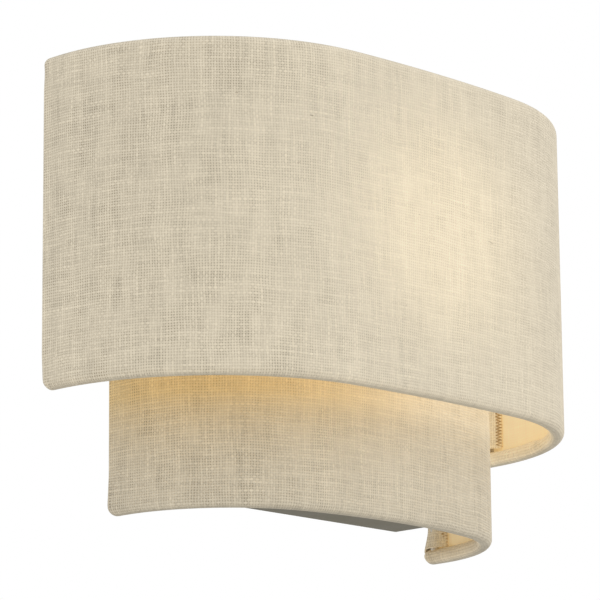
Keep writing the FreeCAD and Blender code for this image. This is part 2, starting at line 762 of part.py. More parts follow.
def housing_top():
    """Height of the seam between the lamp's housing and its globe."""
    return GLOBE_CENTRE - HOUSING_TOP_BELOW_CENTRE


def seam_radius():
    """Radius of the globe at the seam."""
    return math.sqrt(GLOBE_RADIUS ** 2 - HOUSING_TOP_BELOW_CENTRE ** 2)


def board_seat():
    """Height of the ledge in the housing that the board of light sources lies on."""
    return housing_top() - LED_BOARD_BELOW_SEAM - LED_BOARD_SHEET


def lamp_housing():
    """Plastic housing that widens from the cap to the globe, with a ledge inside its rim for the board."""
    low = cap_top()
    waist = low + HOUSING_WAIST_HEIGHT
    high = housing_top()
    bore = CAP_RADIUS - CAP_WALL - HOUSING_WALL
    pocket = LED_BOARD_RADIUS + LED_BOARD_ROOM
    ledge = LED_BOARD_RADIUS - LED_BOARD_LEDGE
    return turned([
        (bore, low, 0),
        (HOUSING_FOOT_RADIUS, low, 0.8),
        (HOUSING_FOOT_RADIUS + 1, waist, 6.0),
        (seam_radius(), high, 0),
        (pocket, high, 0),
        (pocket, board_seat(), 0),
        (ledge, board_seat(), 0),
        (ledge, board_seat() - LED_BOARD_LEDGE, 0),
        (bore, waist, 4.0),
    ])


def led_board():
    """Board of light sources on the housing's ledge."""
    seat = LAMP_AXIS + UP * board_seat()
    return rod(LED_BOARD_RADIUS, seat, seat + UP * LED_BOARD_SHEET)


def lamp_globe():
    """Opal globe: a hollow ball cut off at the housing."""
    centre = LAMP_AXIS + UP * GLOBE_CENTRE
    shell = Part.makeSphere(GLOBE_RADIUS, centre).cut(Part.makeSphere(GLOBE_RADIUS - GLOBE_WALL, centre))
    reach = 2 * GLOBE_RADIUS
    floor = box(
        -reach, reach, -LAMP_FROM_WALL - reach, -LAMP_FROM_WALL + reach,
        housing_top() - 2 * GLOBE_RADIUS, housing_top(),
    )
    return solid_of(shell.cut(floor))


# ---- terminal block and earth ---------------------------------------------------------------
def block_middle():
    """Height of the terminal block's middle."""
    return BLOCK_ABOVE_MIDDLE + BLOCK_HEIGHT / 2


def pole_stations():
    """X of each pole of the terminal block."""
    return [POLE_SPACING * (i - (POLE_COUNT - 1) / 2) for i in range(POLE_COUNT)]


def barrel_y():
    """Distance of the barrels' axes from the wall plane."""
    return BOX_INNER_FRONT + BLOCK_DEPTH - BARREL_FROM_BACK


def terminal_screw_heights():
    """Heights of the two screws of each pole."""
    return [block_middle() + side * TERMINAL_SCREW_SPACING / 2 for side in (1, -1)]


def terminal_block():
    """Insulating block with one through hole for each pole and one clamping screw at each end of it."""
    half = POLE_SPACING * (POLE_COUNT - 1) / 2 + BARREL / 2 + BLOCK_END_WALL
    low, high = BLOCK_ABOVE_MIDDLE, BLOCK_ABOVE_MIDDLE + BLOCK_HEIGHT
    back = BOX_INNER_FRONT + BLOCK_DEPTH
    body = box(-half, half, BOX_INNER_FRONT, back, low, high)
    tools = []
    for x in pole_stations():
        tools.append(rod(BARREL / 2 + BARREL_ROOM, Vector(x, barrel_y(), low - 1), Vector(x, barrel_y(), high + 1)))
        for z in terminal_screw_heights():
            radius = TERMINAL_SCREW / 2 + TERMINAL_SCREW_ROOM
            tools.append(rod(radius, Vector(x, barrel_y(), z), Vector(x, back + 1, z)))
    for side in (1, -1):
        x = side * POLE_SPACING / 2
        radius = BLOCK_SCREW / 2 + BLOCK_SCREW_ROOM
        tools.append(rod(radius, Vector(x, BOX_INNER_FRONT - 1, block_middle()), Vector(x, back + 1, block_middle())))
    return solid_of(body.cut(tools))


def terminal_barrel(x):
    """Brass tube of one pole, tapped for its two screws."""
    low = Vector(x, barrel_y(), BLOCK_ABOVE_MIDDLE + 1)
    high = Vector(x, barrel_y(), BLOCK_ABOVE_MIDDLE + BLOCK_HEIGHT - 1)
    barrel = tube(BARREL / 2, BARREL_BORE / 2, low, high)
    taps = []
    for z in terminal_screw_heights():
        radius = TERMINAL_SCREW / 2 + THREAD_ROOM
        taps.append(rod(radius, Vector(x, barrel_y(), z), Vector(x, barrel_y() + BARREL, z)))
    return solid_of(barrel.cut(taps))


def terminal_screw(x, z):
    """Clamping screw of a pole, whose slotted end shows at the back of the block."""
    tip = barrel_y() + CORE_WIRE / 2 + REST_GAP
    head = BOX_INNER_FRONT + BLOCK_DEPTH - 0.5
    screw = rod(TERMINAL_SCREW / 2, Vector(x, tip, z), Vector(x, head, z))
    slot = box(x - TERMINAL_SCREW, x + TERMINAL_SCREW, head - 0.8, head + 1, z - 0.25, z + 0.25)
    return solid_of(screw.cut(slot))


def block_screw(side):
    """Screw that holds the terminal block to the wall box, driven from the back."""
    x = side * POLE_SPACING / 2
    back = BOX_INNER_FRONT + BLOCK_DEPTH
    shank = rod(BLOCK_SCREW / 2, Vector(x, BOX_FRONT, block_middle()), Vector(x, back, block_middle()))
    head_radius = BLOCK_SCREW * SCREW_HEAD_RATIO / 2
    head = rod(head_radius, Vector(x, back, block_middle()), Vector(x, back + BLOCK_SCREW / 2, block_middle()))
    return joined([shank, head])


def earth_screw():
    """Screw that clamps the earth lug to the inside of the wall box."""
    spot = Vector(EARTH_X, BOX_INNER_FRONT + LUG_SHEET, -EARTH_BELOW_MIDDLE)
    shank = rod(EARTH_SCREW / 2, Vector(EARTH_X, BOX_FRONT, -EARTH_BELOW_MIDDLE), spot)
    head = rod(EARTH_HEAD / 2, spot, spot - OUT * EARTH_HEAD_HEIGHT)
    slot = box(
        EARTH_X - EARTH_HEAD, EARTH_X + EARTH_HEAD,
        spot.y + EARTH_HEAD_HEIGHT - 1, spot.y + EARTH_HEAD_HEIGHT + 1,
        spot.z - 0.5, spot.z + 0.5,
    )
    return solid_of(joined([shank, head]).cut(slot))


def earth_wire_y():
    """Distance of the earth wire's end from the wall plane, in the lug's sleeve."""
    return BOX_INNER_FRONT + LUG_SLEEVE / 2


def earth_lug():
    """Ring lug under the earth screw, with an upright sleeve for the wire."""
    centre = Vector(EARTH_X, BOX_INNER_FRONT, -EARTH_BELOW_MIDDLE)
    ring_part = rod(LUG_RADIUS, centre, centre - OUT * LUG_SHEET)
    tail_top = centre.z + LUG_TAIL
    tail = box(
        EARTH_X - LUG_SLEEVE / 2, EARTH_X + LUG_SLEEVE / 2,
        BOX_INNER_FRONT, BOX_INNER_FRONT + LUG_SHEET, centre.z, tail_top,
    )
    foot = Vector(EARTH_X, earth_wire_y(), tail_top - LUG_SLEEVE_LENGTH)
    sleeve = rod(LUG_SLEEVE / 2, foot, foot + UP * LUG_SLEEVE_LENGTH)
    lug = joined([ring_part, tail, sleeve])
    tools = [rod(EARTH_SCREW / 2, centre + OUT, centre - OUT * EARTH_HEAD)]
    tools.append(rod(CORE_WIRE / 2, foot + UP, foot + UP * (LUG_SLEEVE_LENGTH + 1)))
    return solid_of(lug.cut(tools))


def wire_grommet():
    """Rubber bush in the front of the wall box, where the lampholder's wires come out."""
    x_axis = Vector(0, 0, -GROMMET_BELOW_MIDDLE)
    inner_end = x_axis + Vector(0, BOX_INNER_FRONT + GROMMET_FLANGE_SHEET, 0)
    outer_end = x_axis + Vector(0, BOX_FRONT - GROMMET_FLANGE_SHEET, 0)
    body = rod(GROMMET_NECK / 2, inner_end, outer_end)
    flanges = [rod(GROMMET_FLANGE / 2, inner_end, inner_end + OUT * GROMMET_FLANGE_SHEET)]
    flanges.append(rod(GROMMET_FLANGE / 2, outer_end - OUT * GROMMET_FLANGE_SHEET, outer_end))
    return solid_of(joined([body] + flanges).cut(rod(GROMMET_BORE / 2, inner_end, outer_end)))


# ---- wires ----------------------------------------------------------------------------------
def wire(name, points, radius):
    """A round wire through straight runs joined by tangent arcs, each as large as its runs allow."""
    pieces = []
    length = 0.0
    radii = []
    start = points[0]
    for before, here, after in zip(points, points[1:], points[2:]):
        arriving, leaving = (here - before), (after - here)
        shorter = min(arriving.Length, leaving.Length)
        arriving.normalize()
        leaving.normalize()
        turn = arriving.getAngle(leaving)
        cut = 0.45 * shorter
        bend = cut / math.tan(turn / 2)
        arc_start, arc_end = here - arriving * cut, here + leaving * cut
        pieces.append(rod(radius, start, arc_start))
        axis = arriving.cross(leaving).normalize()
        centre = arc_start + axis.cross(arriving) * bend
        face = Part.Face(Part.Wire(Part.makeCircle(radius, arc_start, arriving)))
        pieces.append(solid_of(face.revolve(centre, axis, math.degrees(turn))))
        length += start.distanceToPoint(arc_start) + bend * turn
        radii.append(bend)
        start = arc_end
    pieces.append(rod(radius, start, points[-1]))
    length += start.distanceToPoint(points[-1])
    made = joined(pieces)
    share = made.Volume / (math.pi * radius ** 2 * length)
    print(name, "length", round(length, 1), "least radius", round(min(radii), 1), "volume share", round(share, 4))
    return made


def lamp_wire_route(pole, side):
    """Route of a lampholder wire: terminal, down inside the box, out through the grommet, up the nipple."""
    x = pole_stations()[pole]
    pair_x = side * CORE_PAIR_SPACING / 2
    drop = -WIRE_DROP_FROM_WALL
    exit_z = -GROMMET_BELOW_MIDDLE
    lamp_y = -LAMP_FROM_WALL
    box_outside = BOX_FRONT - GROMMET_FLANGE_SHEET
    low = exit_z - WIRE_SAG
    top = core_bottom() - INSERT_HEIGHT + INSERT_WIRE_HOLE
    return [
        Vector(x, barrel_y(), block_middle() - TERMINAL_SCREW_SPACING),
        Vector(x, barrel_y(), BLOCK_ABOVE_MIDDLE - 9),
        Vector(pair_x, drop, -5),
        Vector(pair_x, drop, exit_z),
        Vector(pair_x, box_outside - 7, exit_z),
        Vector(pair_x, lamp_y + 10, low),
        Vector(pair_x, lamp_y, exit_z),
        Vector(pair_x, lamp_y, top),
    ]


def earth_wire_route():
    """Route of the earth wire from its terminal to the lug on the wall box."""
    x = pole_stations()[-1]
    turn_z = BLOCK_ABOVE_MIDDLE - 13
    lug_top = LUG_TAIL - EARTH_BELOW_MIDDLE
    return [
        Vector(x, barrel_y(), block_middle() - TERMINAL_SCREW_SPACING),
        Vector(x, barrel_y(), turn_z),
        Vector(EARTH_X, earth_wire_y(), turn_z),
        Vector(EARTH_X, earth_wire_y(), lug_top - LUG_SLEEVE_LENGTH + 1),
    ]


# ---- the whole light ------------------------------------------------------------------------
def shade_pieces():
    """Everything that lifts off with the shade."""
    upper = Tier(UPPER_WIDTH, UPPER_DEPTH, UPPER_FRONT_RADIUS, UPPER_END_GAP, UPPER_BOTTOM, UPPER_TOP)
    lower = Tier(LOWER_WIDTH, LOWER_DEPTH, LOWER_FRONT_RADIUS, LOWER_END_GAP, LOWER_BOTTOM, LOWER_TOP)
    upper_wire_top = ring_height(upper, True) + RING_WIRE / 2
    upper_wires = end_wires(upper, upper_wire_top)
    lower_wires = end_wires(lower, BAR_TOP)
    return {
        "upper_cover": cover(upper, upper_wire_top),
        "upper_lining": lining(upper),
        "upper_top_ring": ring(upper, True, upper_wires),
        "upper_bottom_ring": ring(upper, False, upper_wires),
        "upper_end_wires": upper_wires,
        "lower_cover": cover(lower, BAR_TOP),
        "lower_lining": lining(lower),
        "lower_top_ring": ring(lower, True, lower_wires),
        "lower_bottom_ring": ring(lower, False, lower_wires),
        "lower_end_wires": lower_wires,
        "cross_bar": cross_bar(Part.makeCompound([upper_wires, lower_wires])),
    }


def wall_pieces():
    """Everything that stays on the wall."""
    screws = [terminal_screw(x, z) for x in pole_stations() for z in terminal_screw_heights()]
    return {
        "wall_strap": wall_strap(),
        "strap_studs": both_sides(stud),
        "wall_box": wall_box(),
        "terminal_block": terminal_block(),
        "terminal_barrels": Part.makeCompound([terminal_barrel(x) for x in pole_stations()]),
        "terminal_screws": Part.makeCompound(screws),
        "block_screws": both_sides(block_screw),
        "earth_screw": earth_screw(),
        "earth_lug": earth_lug(),
        "earth_wire": wire("earth_wire", earth_wire_route(), CORE_WIRE / 2),
        "live_wire": wire("live_wire", lamp_wire_route(0, -1), CORE_WIRE / 2),
        "neutral_wire": wire("neutral_wire", lamp_wire_route(1, 1), CORE_WIRE / 2),
        "wire_grommet": wire_grommet(),
        "lampholder_arm": lampholder_arm(),
        "arm_rivets": both_sides(arm_rivet),
        "holder_nipple": holder_nipple(),
        "nipple_nut": nipple_nut(),
        "holder_cap": holder_cap(),
        "holder_insert": holder_insert(),
        "holder_core": holder_core(),
        "holder_sleeve": holder_sleeve(),
        "screw_shell": screw_shell(),
        "centre_contact": centre_contact(),
    }


def lamp_pieces():
    """The screw-in lamp."""
    return {
        "lamp_tip": lamp_tip(),
        "lamp_insulator": lamp_insulator(),
        "lamp_cap": lamp_cap(),
        "lamp_housing": lamp_housing(),
        "led_board": led_board(),
        "lamp_globe": lamp_globe(),
    }


def nut_pieces():
    """The two washers and cap nuts that hold the wall box to the strap."""
    return {
        "washer_right": washer(1),
        "washer_left": washer(-1),
        "cap_nut_right": cap_nut(1),
        "cap_nut_left": cap_nut(-1),
    }


os.makedirs("parts", exist_ok=True)
for makers in (shade_pieces, wall_pieces, lamp_pieces, nut_pieces):
    for node, shape in makers().items():
        shape.exportStep("parts/" + node + ".step")
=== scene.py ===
"""Fabric shade wall light: two tiers of linen over a small screw-in lamp, dressed for looks.

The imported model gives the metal, plastic and wire pieces, which take finer finishes here.  The cloth covers
and their lining are worked out as thin sheets from the plan curve of each tier.  All lengths are in metres.
"""
import math

import bpy
import numpy as np
from bpy.props import FloatProperty, FloatVectorProperty, PointerProperty
from mathutils import Matrix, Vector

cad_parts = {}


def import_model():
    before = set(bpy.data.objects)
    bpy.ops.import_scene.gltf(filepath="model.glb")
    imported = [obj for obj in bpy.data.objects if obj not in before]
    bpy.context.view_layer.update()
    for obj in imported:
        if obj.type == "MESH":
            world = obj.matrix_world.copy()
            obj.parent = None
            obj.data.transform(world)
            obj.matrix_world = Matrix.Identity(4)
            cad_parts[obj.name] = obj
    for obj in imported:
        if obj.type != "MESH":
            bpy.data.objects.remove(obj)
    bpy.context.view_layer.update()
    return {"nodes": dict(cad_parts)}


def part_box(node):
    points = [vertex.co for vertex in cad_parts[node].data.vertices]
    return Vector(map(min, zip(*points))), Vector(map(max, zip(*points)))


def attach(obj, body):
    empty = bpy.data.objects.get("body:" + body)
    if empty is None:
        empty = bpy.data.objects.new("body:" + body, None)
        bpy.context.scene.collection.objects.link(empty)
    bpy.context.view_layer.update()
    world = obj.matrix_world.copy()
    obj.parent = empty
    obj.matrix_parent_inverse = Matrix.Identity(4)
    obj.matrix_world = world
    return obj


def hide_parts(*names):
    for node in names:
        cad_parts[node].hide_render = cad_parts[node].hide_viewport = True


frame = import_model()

NODES = frame["nodes"]

bl_info = {
    "name": "Fabric Shade Wall Light",
    "version": (1, 0, 0),
    "blender": (4, 5, 0),
    "location": "3D View > Sidebar > Wall Light",
    "description": "Builds the cloth, lining, stitches and finishes of a two-tier fabric wall light",
    "category": "Object",
}


def tone(red, green, blue):
    """A colour given in screen values from 0 to 255, as the linear values that shaders use."""
    part = np.array([red, green, blue]) / 255
    linear = np.where(part <= 0.04045, part / 12.92, ((part + 0.055) / 1.055) ** 2.4)
    return tuple(float(c) for c in linear)


def number(name, description, default, **more):
    """A number property; more holds its limits and its unit."""
    return FloatProperty(name=name, description=description, default=default, **more)


def length(name, description, default):
    """A length property in metres."""
    return number(name, description, default, min=0, unit="LENGTH", precision=5)


def share(name, description, default, most=1.0):
    """A plain factor."""
    return number(name, description, default, min=0, max=most, subtype="FACTOR")


def power(name, description, default):
    """The power of a stage lamp."""
    return number(name, description, default, unit="POWER")


def colour(name, description, default):
    """A colour property."""
    limits = {"subtype": "COLOR", "min": 0, "max": 1}
    return FloatVectorProperty(name=name, description=description, default=default, **limits)


# ---- sizes and colours that a user may change -------------------------------------------------
class WallLightCloth(bpy.types.PropertyGroup):
    upper_front_radius: length("Upper front radius", "Radius of the upper tier's front bow", 0.750)
    lower_front_radius: length("Lower front radius", "Radius of the lower tier's front bow", 0.254)
    side_straight: length("Straight side", "Length of the straight sides from the wall", 0.010)
    thickness: length("Cloth thickness", "Thickness of the linen", 0.0007)
    roll: length("Roll", "Width of the edge rolled round a ring wire", 0.0075)
    hem: length("Hem", "Height of the inner hem from the edge", 0.0080)
    flare: length("Flare", "How far the lower tier's ends lean out at the bottom", 0.0018)
    end_roll: length("End roll", "Thickness of the cloth turned round an end wire, at mid height", 0.0052)
    upper_flap: length("Upper flap", "Width of the end flap inside the upper tier", 0.0172)
    lower_flap: length("Lower flap", "Width of the end flap inside the lower tier", 0.0110)
    upper_slit: length("Upper slit", "Gap between the upper flap's end and the roll", 0.0018)
    lower_slit: length("Lower slit", "Gap between the lower flap's end and the roll", 0.0004)
    thread: length("Thread spacing", "Distance from thread to thread", 0.00128)
    linen: colour("Linen", "Colour of the threads", tone(235, 223, 199))
    # painted shade: the colour that the gaps between the threads are darkened to
    gap: colour("Between threads", "Colour between the threads", tone(134, 119, 92))
    fleck: colour("Flecks", "Colour of the stray dark fibres", tone(122, 96, 66))
    # painted shade: the lower tier's linen is darkened by this factor for the shade under the upper tier
    lower_tier_shade: share("Lower tier tone", "How pale the lower tier's linen is beside the upper tier's", 0.86)
    lining: colour("Lining", "Colour of the lining sheet", tone(238, 224, 192))
    stitch: colour("Stitches", "Colour of the thread over the flaps' edges", tone(190, 154, 98))


class WallLightGlow(bpy.types.PropertyGroup):
    through: colour("Light through cloth", "Colour of the light through the linen", tone(255, 240, 206))
    warm: colour("Warm light", "Colour of the lamp's light inside the tiers", tone(255, 228, 178))
    cloth: share("Cloth glow", "How strongly the cloth glows in front of the lamp", 0.20, 2.0)
    inside: share("Inside glow", "How strongly the lining glows", 0.44, 3.0)
    reach: length("Glow reach", "Distance over which the glow through the cloth fades", 0.022)
    globe: share("Globe", "Brightness of the lamp's globe", 1.5, 20.0)


class WallLightMetal(bpy.types.PropertyGroup):
    bronze: colour("Bronze", "Antique bronze of the wall box and the arm", tone(84, 77, 46))
    zinc: colour("Zinc", "Plated steel of the strap and screws", tone(186, 186, 180))
    brass: colour("Brass", "Brass of the nuts and contacts", tone(206, 170, 104))
    white: colour("White paint", "Paint of the shade's wire frame", tone(232, 229, 220))


class WallLightStage(bpy.types.PropertyGroup):
    floor: colour("Floor", "Colour of the floor", tone(236, 234, 230))
    floor_level: number("Floor level", "Height of the floor", -0.95, unit="LENGTH")
    sky: share("Sky", "Strength of the even light from all round", 0.57, 5.0)
    key: power("Key", "Power of the large lamp at the front right", 25)
    fill: power("Fill", "Power of the lamp at the front left", 9)
    lens: number("Lens", "Focal length on a 36 mm sensor, in millimetres", 207.4)


# ---- fixed sizes, in metres -------------------------------------------------------------------
GRID_STEP = 0.0022              # between the points of a cloth wall
EDGE_DEPTH = 0.0014             # from the outer face to where a hem's or a flap's edge lies on the lining
TOP_FLARE = 0.0006              # how far the upper tier's ends lean out at the top
TOP_FLARE_HEIGHT = 0.010
FLARE_HEIGHT = 0.020            # height over which the lower tier's flare fades
FLARE_LENGTH = 0.008            # length along the wall over which either flare fades
CORNER_SLANT = 0.0016           # how far the foot of each end draws back
CORNER_HEIGHT = 0.0055
LINING_THICKNESS = 0.0005
LINING_DEPTH = 0.00115          # from the outer face to the middle of the lining
LINING_MARGIN = 0.0062          # from a tier's edge to the lining's, behind the hem
LINING_LAP = 0.006              # how far the lining runs on behind a flap
STITCH_PITCH = 0.0016
STITCH_WIDTH = 0.0019
STITCH_RADIUS = 0.00017
LAMP_TO_CLOTH = 0.06            # from the lamp's centre to the nearest cloth
INSIDE_REACH = 0.17             # distance over which the light on the inside fades
# painted light: the warm strip is lamp light painted onto the lower tier's cloth
STRIP_DEPTH = 0.014             # height over which the warm strip on the lower tier fades
CAMERA_PLACE = (-1.1646, -1.1423, -0.3228)
CAMERA_ANGLES = {"heading": -46.060, "tilt": 103.001, "roll": -0.511}   # degrees


# ---- meshes -----------------------------------------------------------------------------------
class Tier:
    """A tier's plan curve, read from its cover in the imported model.

    It runs from the right end round the front to the left end: a straight side, a corner arc, a front arc, a
    corner arc and a straight side, each tangent to the next.  The corner radius follows from the width, the
    depth and the front radius."""

    def __init__(self, node, front_radius, side, flare_low, flare_high):
        low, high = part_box(node)
        self.flare_low, self.flare_high = flare_low, flare_high
        self.half = (high.x - low.x) / 2
        self.gap = -high.y
        self.depth = -low.y
        self.bottom, self.top = low.z, high.z
        self.side = side
        reach = self.depth - side
        self.front = front_radius
        self.corner = (2 * front_radius * reach - self.half**2 - reach**2) / (2 * (front_radius - self.half))
        self.turn = math.acos((self.half - self.corner) / (front_radius - self.corner))
        spans = [side - self.gap, self.corner * self.turn, front_radius * (math.pi - 2 * self.turn)]
        self.stops = np.cumsum([spans[0], spans[1], spans[2], spans[1]])
        self.length = float(self.stops[-1] + spans[0])

    def at(self, s):
        """Plan positions and outward directions at lengths s along the curve.

        The outward direction turns at one over the radius on each arc; a position is an arc's centre plus its
        radius times that direction, or a point moved straight along a side."""
        first, second, third, fourth = self.stops
        angle = np.select(
            [s < first, s < second, s < third, s < fourth],
            [
                0 * s,
                -(s - first) / self.corner,
                -self.turn - (s - second) / self.front,
                self.turn - math.pi - (s - third) / self.corner,
            ],
            -math.pi + 0 * s,
        )
        nx, ny = np.cos(angle), np.sin(angle)
        inset = self.half - self.corner
        x = np.select(
            [s < first, s < second, s < third, s < fourth],
            [self.half + 0 * s, inset + self.corner * nx, self.front * nx, self.corner * nx - inset],
            -self.half + 0 * s,
        )
        y = np.select(
            [s < first, s < second, s < third, s < fourth],
            [
                -self.gap - s,
                -self.side + self.corner * ny,
                self.front - self.depth + self.front * ny,
                -self.side + self.corner * ny,
            ],
            -self.side + (s - fourth),
        )
        return x, y, nx, ny

    def place(self, s, n, z):
        """Points at lengths s along the curve, n inside it and at heights z above the tier's lower edge.

        Near an end the curve runs on outwards by the flare, which fades with the height and with the length,
        and the lowest few millimetres draw back, which slants the corner."""
        from_top = self.top - self.bottom - z
        lean = self.flare_low * ease(1 - z / FLARE_HEIGHT)
        lean = lean + self.flare_high * ease(1 - from_top / TOP_FLARE_HEIGHT)
        lean = lean - CORNER_SLANT * ease(1 - z / CORNER_HEIGHT)
        lean = lean * ease(1 - np.minimum(s, self.length - s) / FLARE_LENGTH)
        x, y, nx, ny = self.at(np.where(s < self.length / 2, s - lean, s + lean))
        return np.stack([x - n * nx, y - n * ny, self.bottom + z + 0 * x], axis=-1)


def ripple(x, period, seed):
    """A gentle uneven wave from -1 to 1: three sines whose periods and phases follow from the seed."""
    total = 0 * x
    for k, weight in enumerate((0.5, 0.3, 0.2)):
        phase = 2.39 * seed + 1.7 * k
        total = total + weight * np.sin(2 * math.pi * x / (period / (1 + 0.63 * k)) + phase)
    return total


def ease(t):
    """Zero to one with level ends."""
    t = np.clip(t, 0, 1)
    return t * t * (3 - 2 * t)


def grid_faces(rows, columns, around=False):
    """Corner indices of the quads of a grid whose points are stored row by row."""
    i, j = np.meshgrid(np.arange(rows - 1), np.arange(columns if around else columns - 1), indexing="ij")
    after = (j + 1) % columns
    quads = [i * columns + j, (i + 1) * columns + j, (i + 1) * columns + after, i * columns + after]
    return np.stack(quads, axis=-1).reshape(-1, 4)


def mesh_piece(name, points, faces, maps=(), ends=()):
    """A smooth mesh object from point and quad arrays, with a texture map for each name and array of pairs in
    maps, and an end face for each list of corners in ends."""
    mesh = bpy.data.meshes.new(name)
    mesh.from_pydata(points.reshape(-1, 3), [], faces.tolist() + [list(map(int, end)) for end in ends])
    loops = np.empty(len(mesh.loops), dtype=np.int32)
    mesh.loops.foreach_get("vertex_index", loops)
    for layer_name, pairs in dict(maps).items():
        layer = mesh.uv_layers.new(name=layer_name)
        layer.data.foreach_set("uv", pairs.reshape(-1, 2)[loops].astype(np.float32).ravel())
    mesh.polygons.foreach_set("use_smooth", np.full(len(mesh.polygons), True))
    mesh.update()
    piece = bpy.data.objects.new(name, mesh)
    bpy.context.scene.collection.objects.link(piece)
    return piece


def thicken(piece, thickness):
    """Gives a sheet its thickness about its middle, and fixes it in the mesh."""
    wall = piece.modifiers.new("thickness", "SOLIDIFY")
    wall.thickness = thickness
    wall.offset = 0.0
    wall.use_even_offset = True
    apply_modifiers(piece)
    piece.data.set_sharp_from_angle(angle=math.radians(60))
    return piece


def apply_modifiers(piece):
    """Replaces the piece's mesh by what its modifiers make of it."""
    graph = bpy.context.evaluated_depsgraph_get()
    finished = bpy.data.meshes.new_from_object(piece.evaluated_get(graph))
    piece.modifiers.clear()
    piece.data = finished


def give(piece, finish):
    """Puts one material on a new piece."""
    piece.data.materials.clear()
    piece.data.materials.append(finish)
    return piece


def refinish(names, finish):
    """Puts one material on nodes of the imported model."""
    for name in names:
        for slot in NODES[name].material_slots:
            slot.material = finish


# ---- shader graph -----------------------------------------------------------------------------
class Signal:
    """A shader socket; Python's operators on it add Math nodes."""

    def __init__(self, graph, socket):
        self.graph = graph
        self.socket = socket

    def __add__(self, other):
        return self.graph.math("ADD", self, other)

    __radd__ = __add__

    def __sub__(self, other):
        return self.graph.math("SUBTRACT", self, other)

    def __rsub__(self, other):
        return self.graph.math("SUBTRACT", other, self)

    def __mul__(self, other):
        return self.graph.math("MULTIPLY", self, other)

    __rmul__ = __mul__

    def __truediv__(self, other):
        return self.graph.math("DIVIDE", self, other)

    def __rtruediv__(self, other):
        return self.graph.math("DIVIDE", other, self)

    def __pow__(self, other):
        return self.graph.math("POWER", self, other)


class Graph:
    """A node tree under construction."""

    def __init__(self, tree):
        self.tree = tree
        tree.nodes.clear()

    def connect(self, socket, value):
        """Links a signal to a socket, or sets the socket's own value."""
        if isinstance(value, Signal):
            self.tree.links.new(value.socket, socket)
        elif hasattr(value, "__len__") and len(value) == 3 and socket.type == "RGBA":
            socket.default_value = (*value, 1.0)
        else:
            socket.default_value = value

    def node(self, kind, settings=(), inputs=(), output=0):
        """One node: its type, its settings, the values or signals of its sockets, and the output to use."""
        made = self.tree.nodes.new("ShaderNode" + kind)
        for name, value in dict(settings).items():
            setattr(made, name, value)
        for name, value in dict(inputs).items():
            self.connect(made.inputs[name], value)
        return Signal(self, made.outputs[output])

    def end(self, kind, signal):
        """The output node, whose surface one signal feeds."""
        last = self.tree.nodes.new("ShaderNode" + kind)
        self.connect(last.inputs["Surface"], signal)

    def math(self, operation, *terms):
        """One Math node on values or signals."""
        return self.node("Math", {"operation": operation}, enumerate(terms))

    def step(self, value, low, high):
        """Zero below low, one above high, smooth between."""
        inputs = {"Value": value, "From Min": low, "From Max": high}
        return self.node("MapRange", {"interpolation_type": "SMOOTHSTEP"}, inputs)

    def mix(self, factor, a, b, blend="MIX"):
        """Two colours mixed."""
        inputs = {0: factor, 6: a, 7: b}
        settings = {"data_type": "RGBA", "blend_type": blend}
        return self.node("Mix", settings, inputs, output=2)

    def at(self, x, y, z=0.0):
        """A vector from three values."""
        return self.node("CombineXYZ", (), {"X": x, "Y": y, "Z": z})

    def noise(self, vector, scale, detail=2.0, roughness=0.5):
        """Smooth noise from zero to one."""
        inputs = {"Vector": vector, "Scale": scale, "Detail": detail, "Roughness": roughness}
        return self.node("TexNoise", {"noise_dimensions": "3D"}, inputs)

    def part(self, vector, axis):
        """One component of a vector."""
        return self.node("SeparateXYZ", (), {"Vector": vector}, output=axis)

    def place(self):
        """The object's own coordinates, in metres."""
        return self.node("TexCoord", (), (), output="Object")

    def far(self, point):
        """Distance of the shaded spot from a point."""
        return self.node("VectorMath", {"operation": "DISTANCE"}, {0: self.place(), 1: point}, output="Value")

    def tint(self, colour, other):
        """Two colours multiplied."""
        return self.mix(1.0, colour, other, "MULTIPLY")

    def scaled(self, colour, factor):
        """A colour times a factor."""
        return self.tint(colour, self.at(factor, factor, factor))


class Finish(Graph):
    """A material under construction: a Principled shader and the nodes that feed it."""

    def __init__(self, name, **constants):
        self.material = bpy.data.materials.new(name)
        self.material.use_nodes = True
        super().__init__(self.material.node_tree)
        self.shader = self.tree.nodes.new("ShaderNodeBsdfPrincipled")
        self.end("OutputMaterial", Signal(self, self.shader.outputs["BSDF"]))
        for socket, value in constants.items():
            self.feed(socket.replace("_", " "), value)

    def feed(self, socket, value):
        """Sets or links one socket of the shader."""
        self.connect(self.shader.inputs[socket], value)

    def bump(self, height, distance, strength=1.0):
        """Relief from a height signal."""
        inputs = {"Height": height, "Distance": distance, "Strength": strength}
        self.feed("Normal", self.node("Bump", (), inputs))

    def shine(self, light, strength=1.0):
        """Light given off by the surface itself."""
        self.feed("Emission Color", light)
        self.feed("Emission Strength", strength)


def lamp_centre():
    """Middle of the lamp's globe."""
    low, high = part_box("lamp_globe")
    radius = (high.x - low.x) / 2
    return (0.0, (low.y + high.y) / 2, high.z - radius)


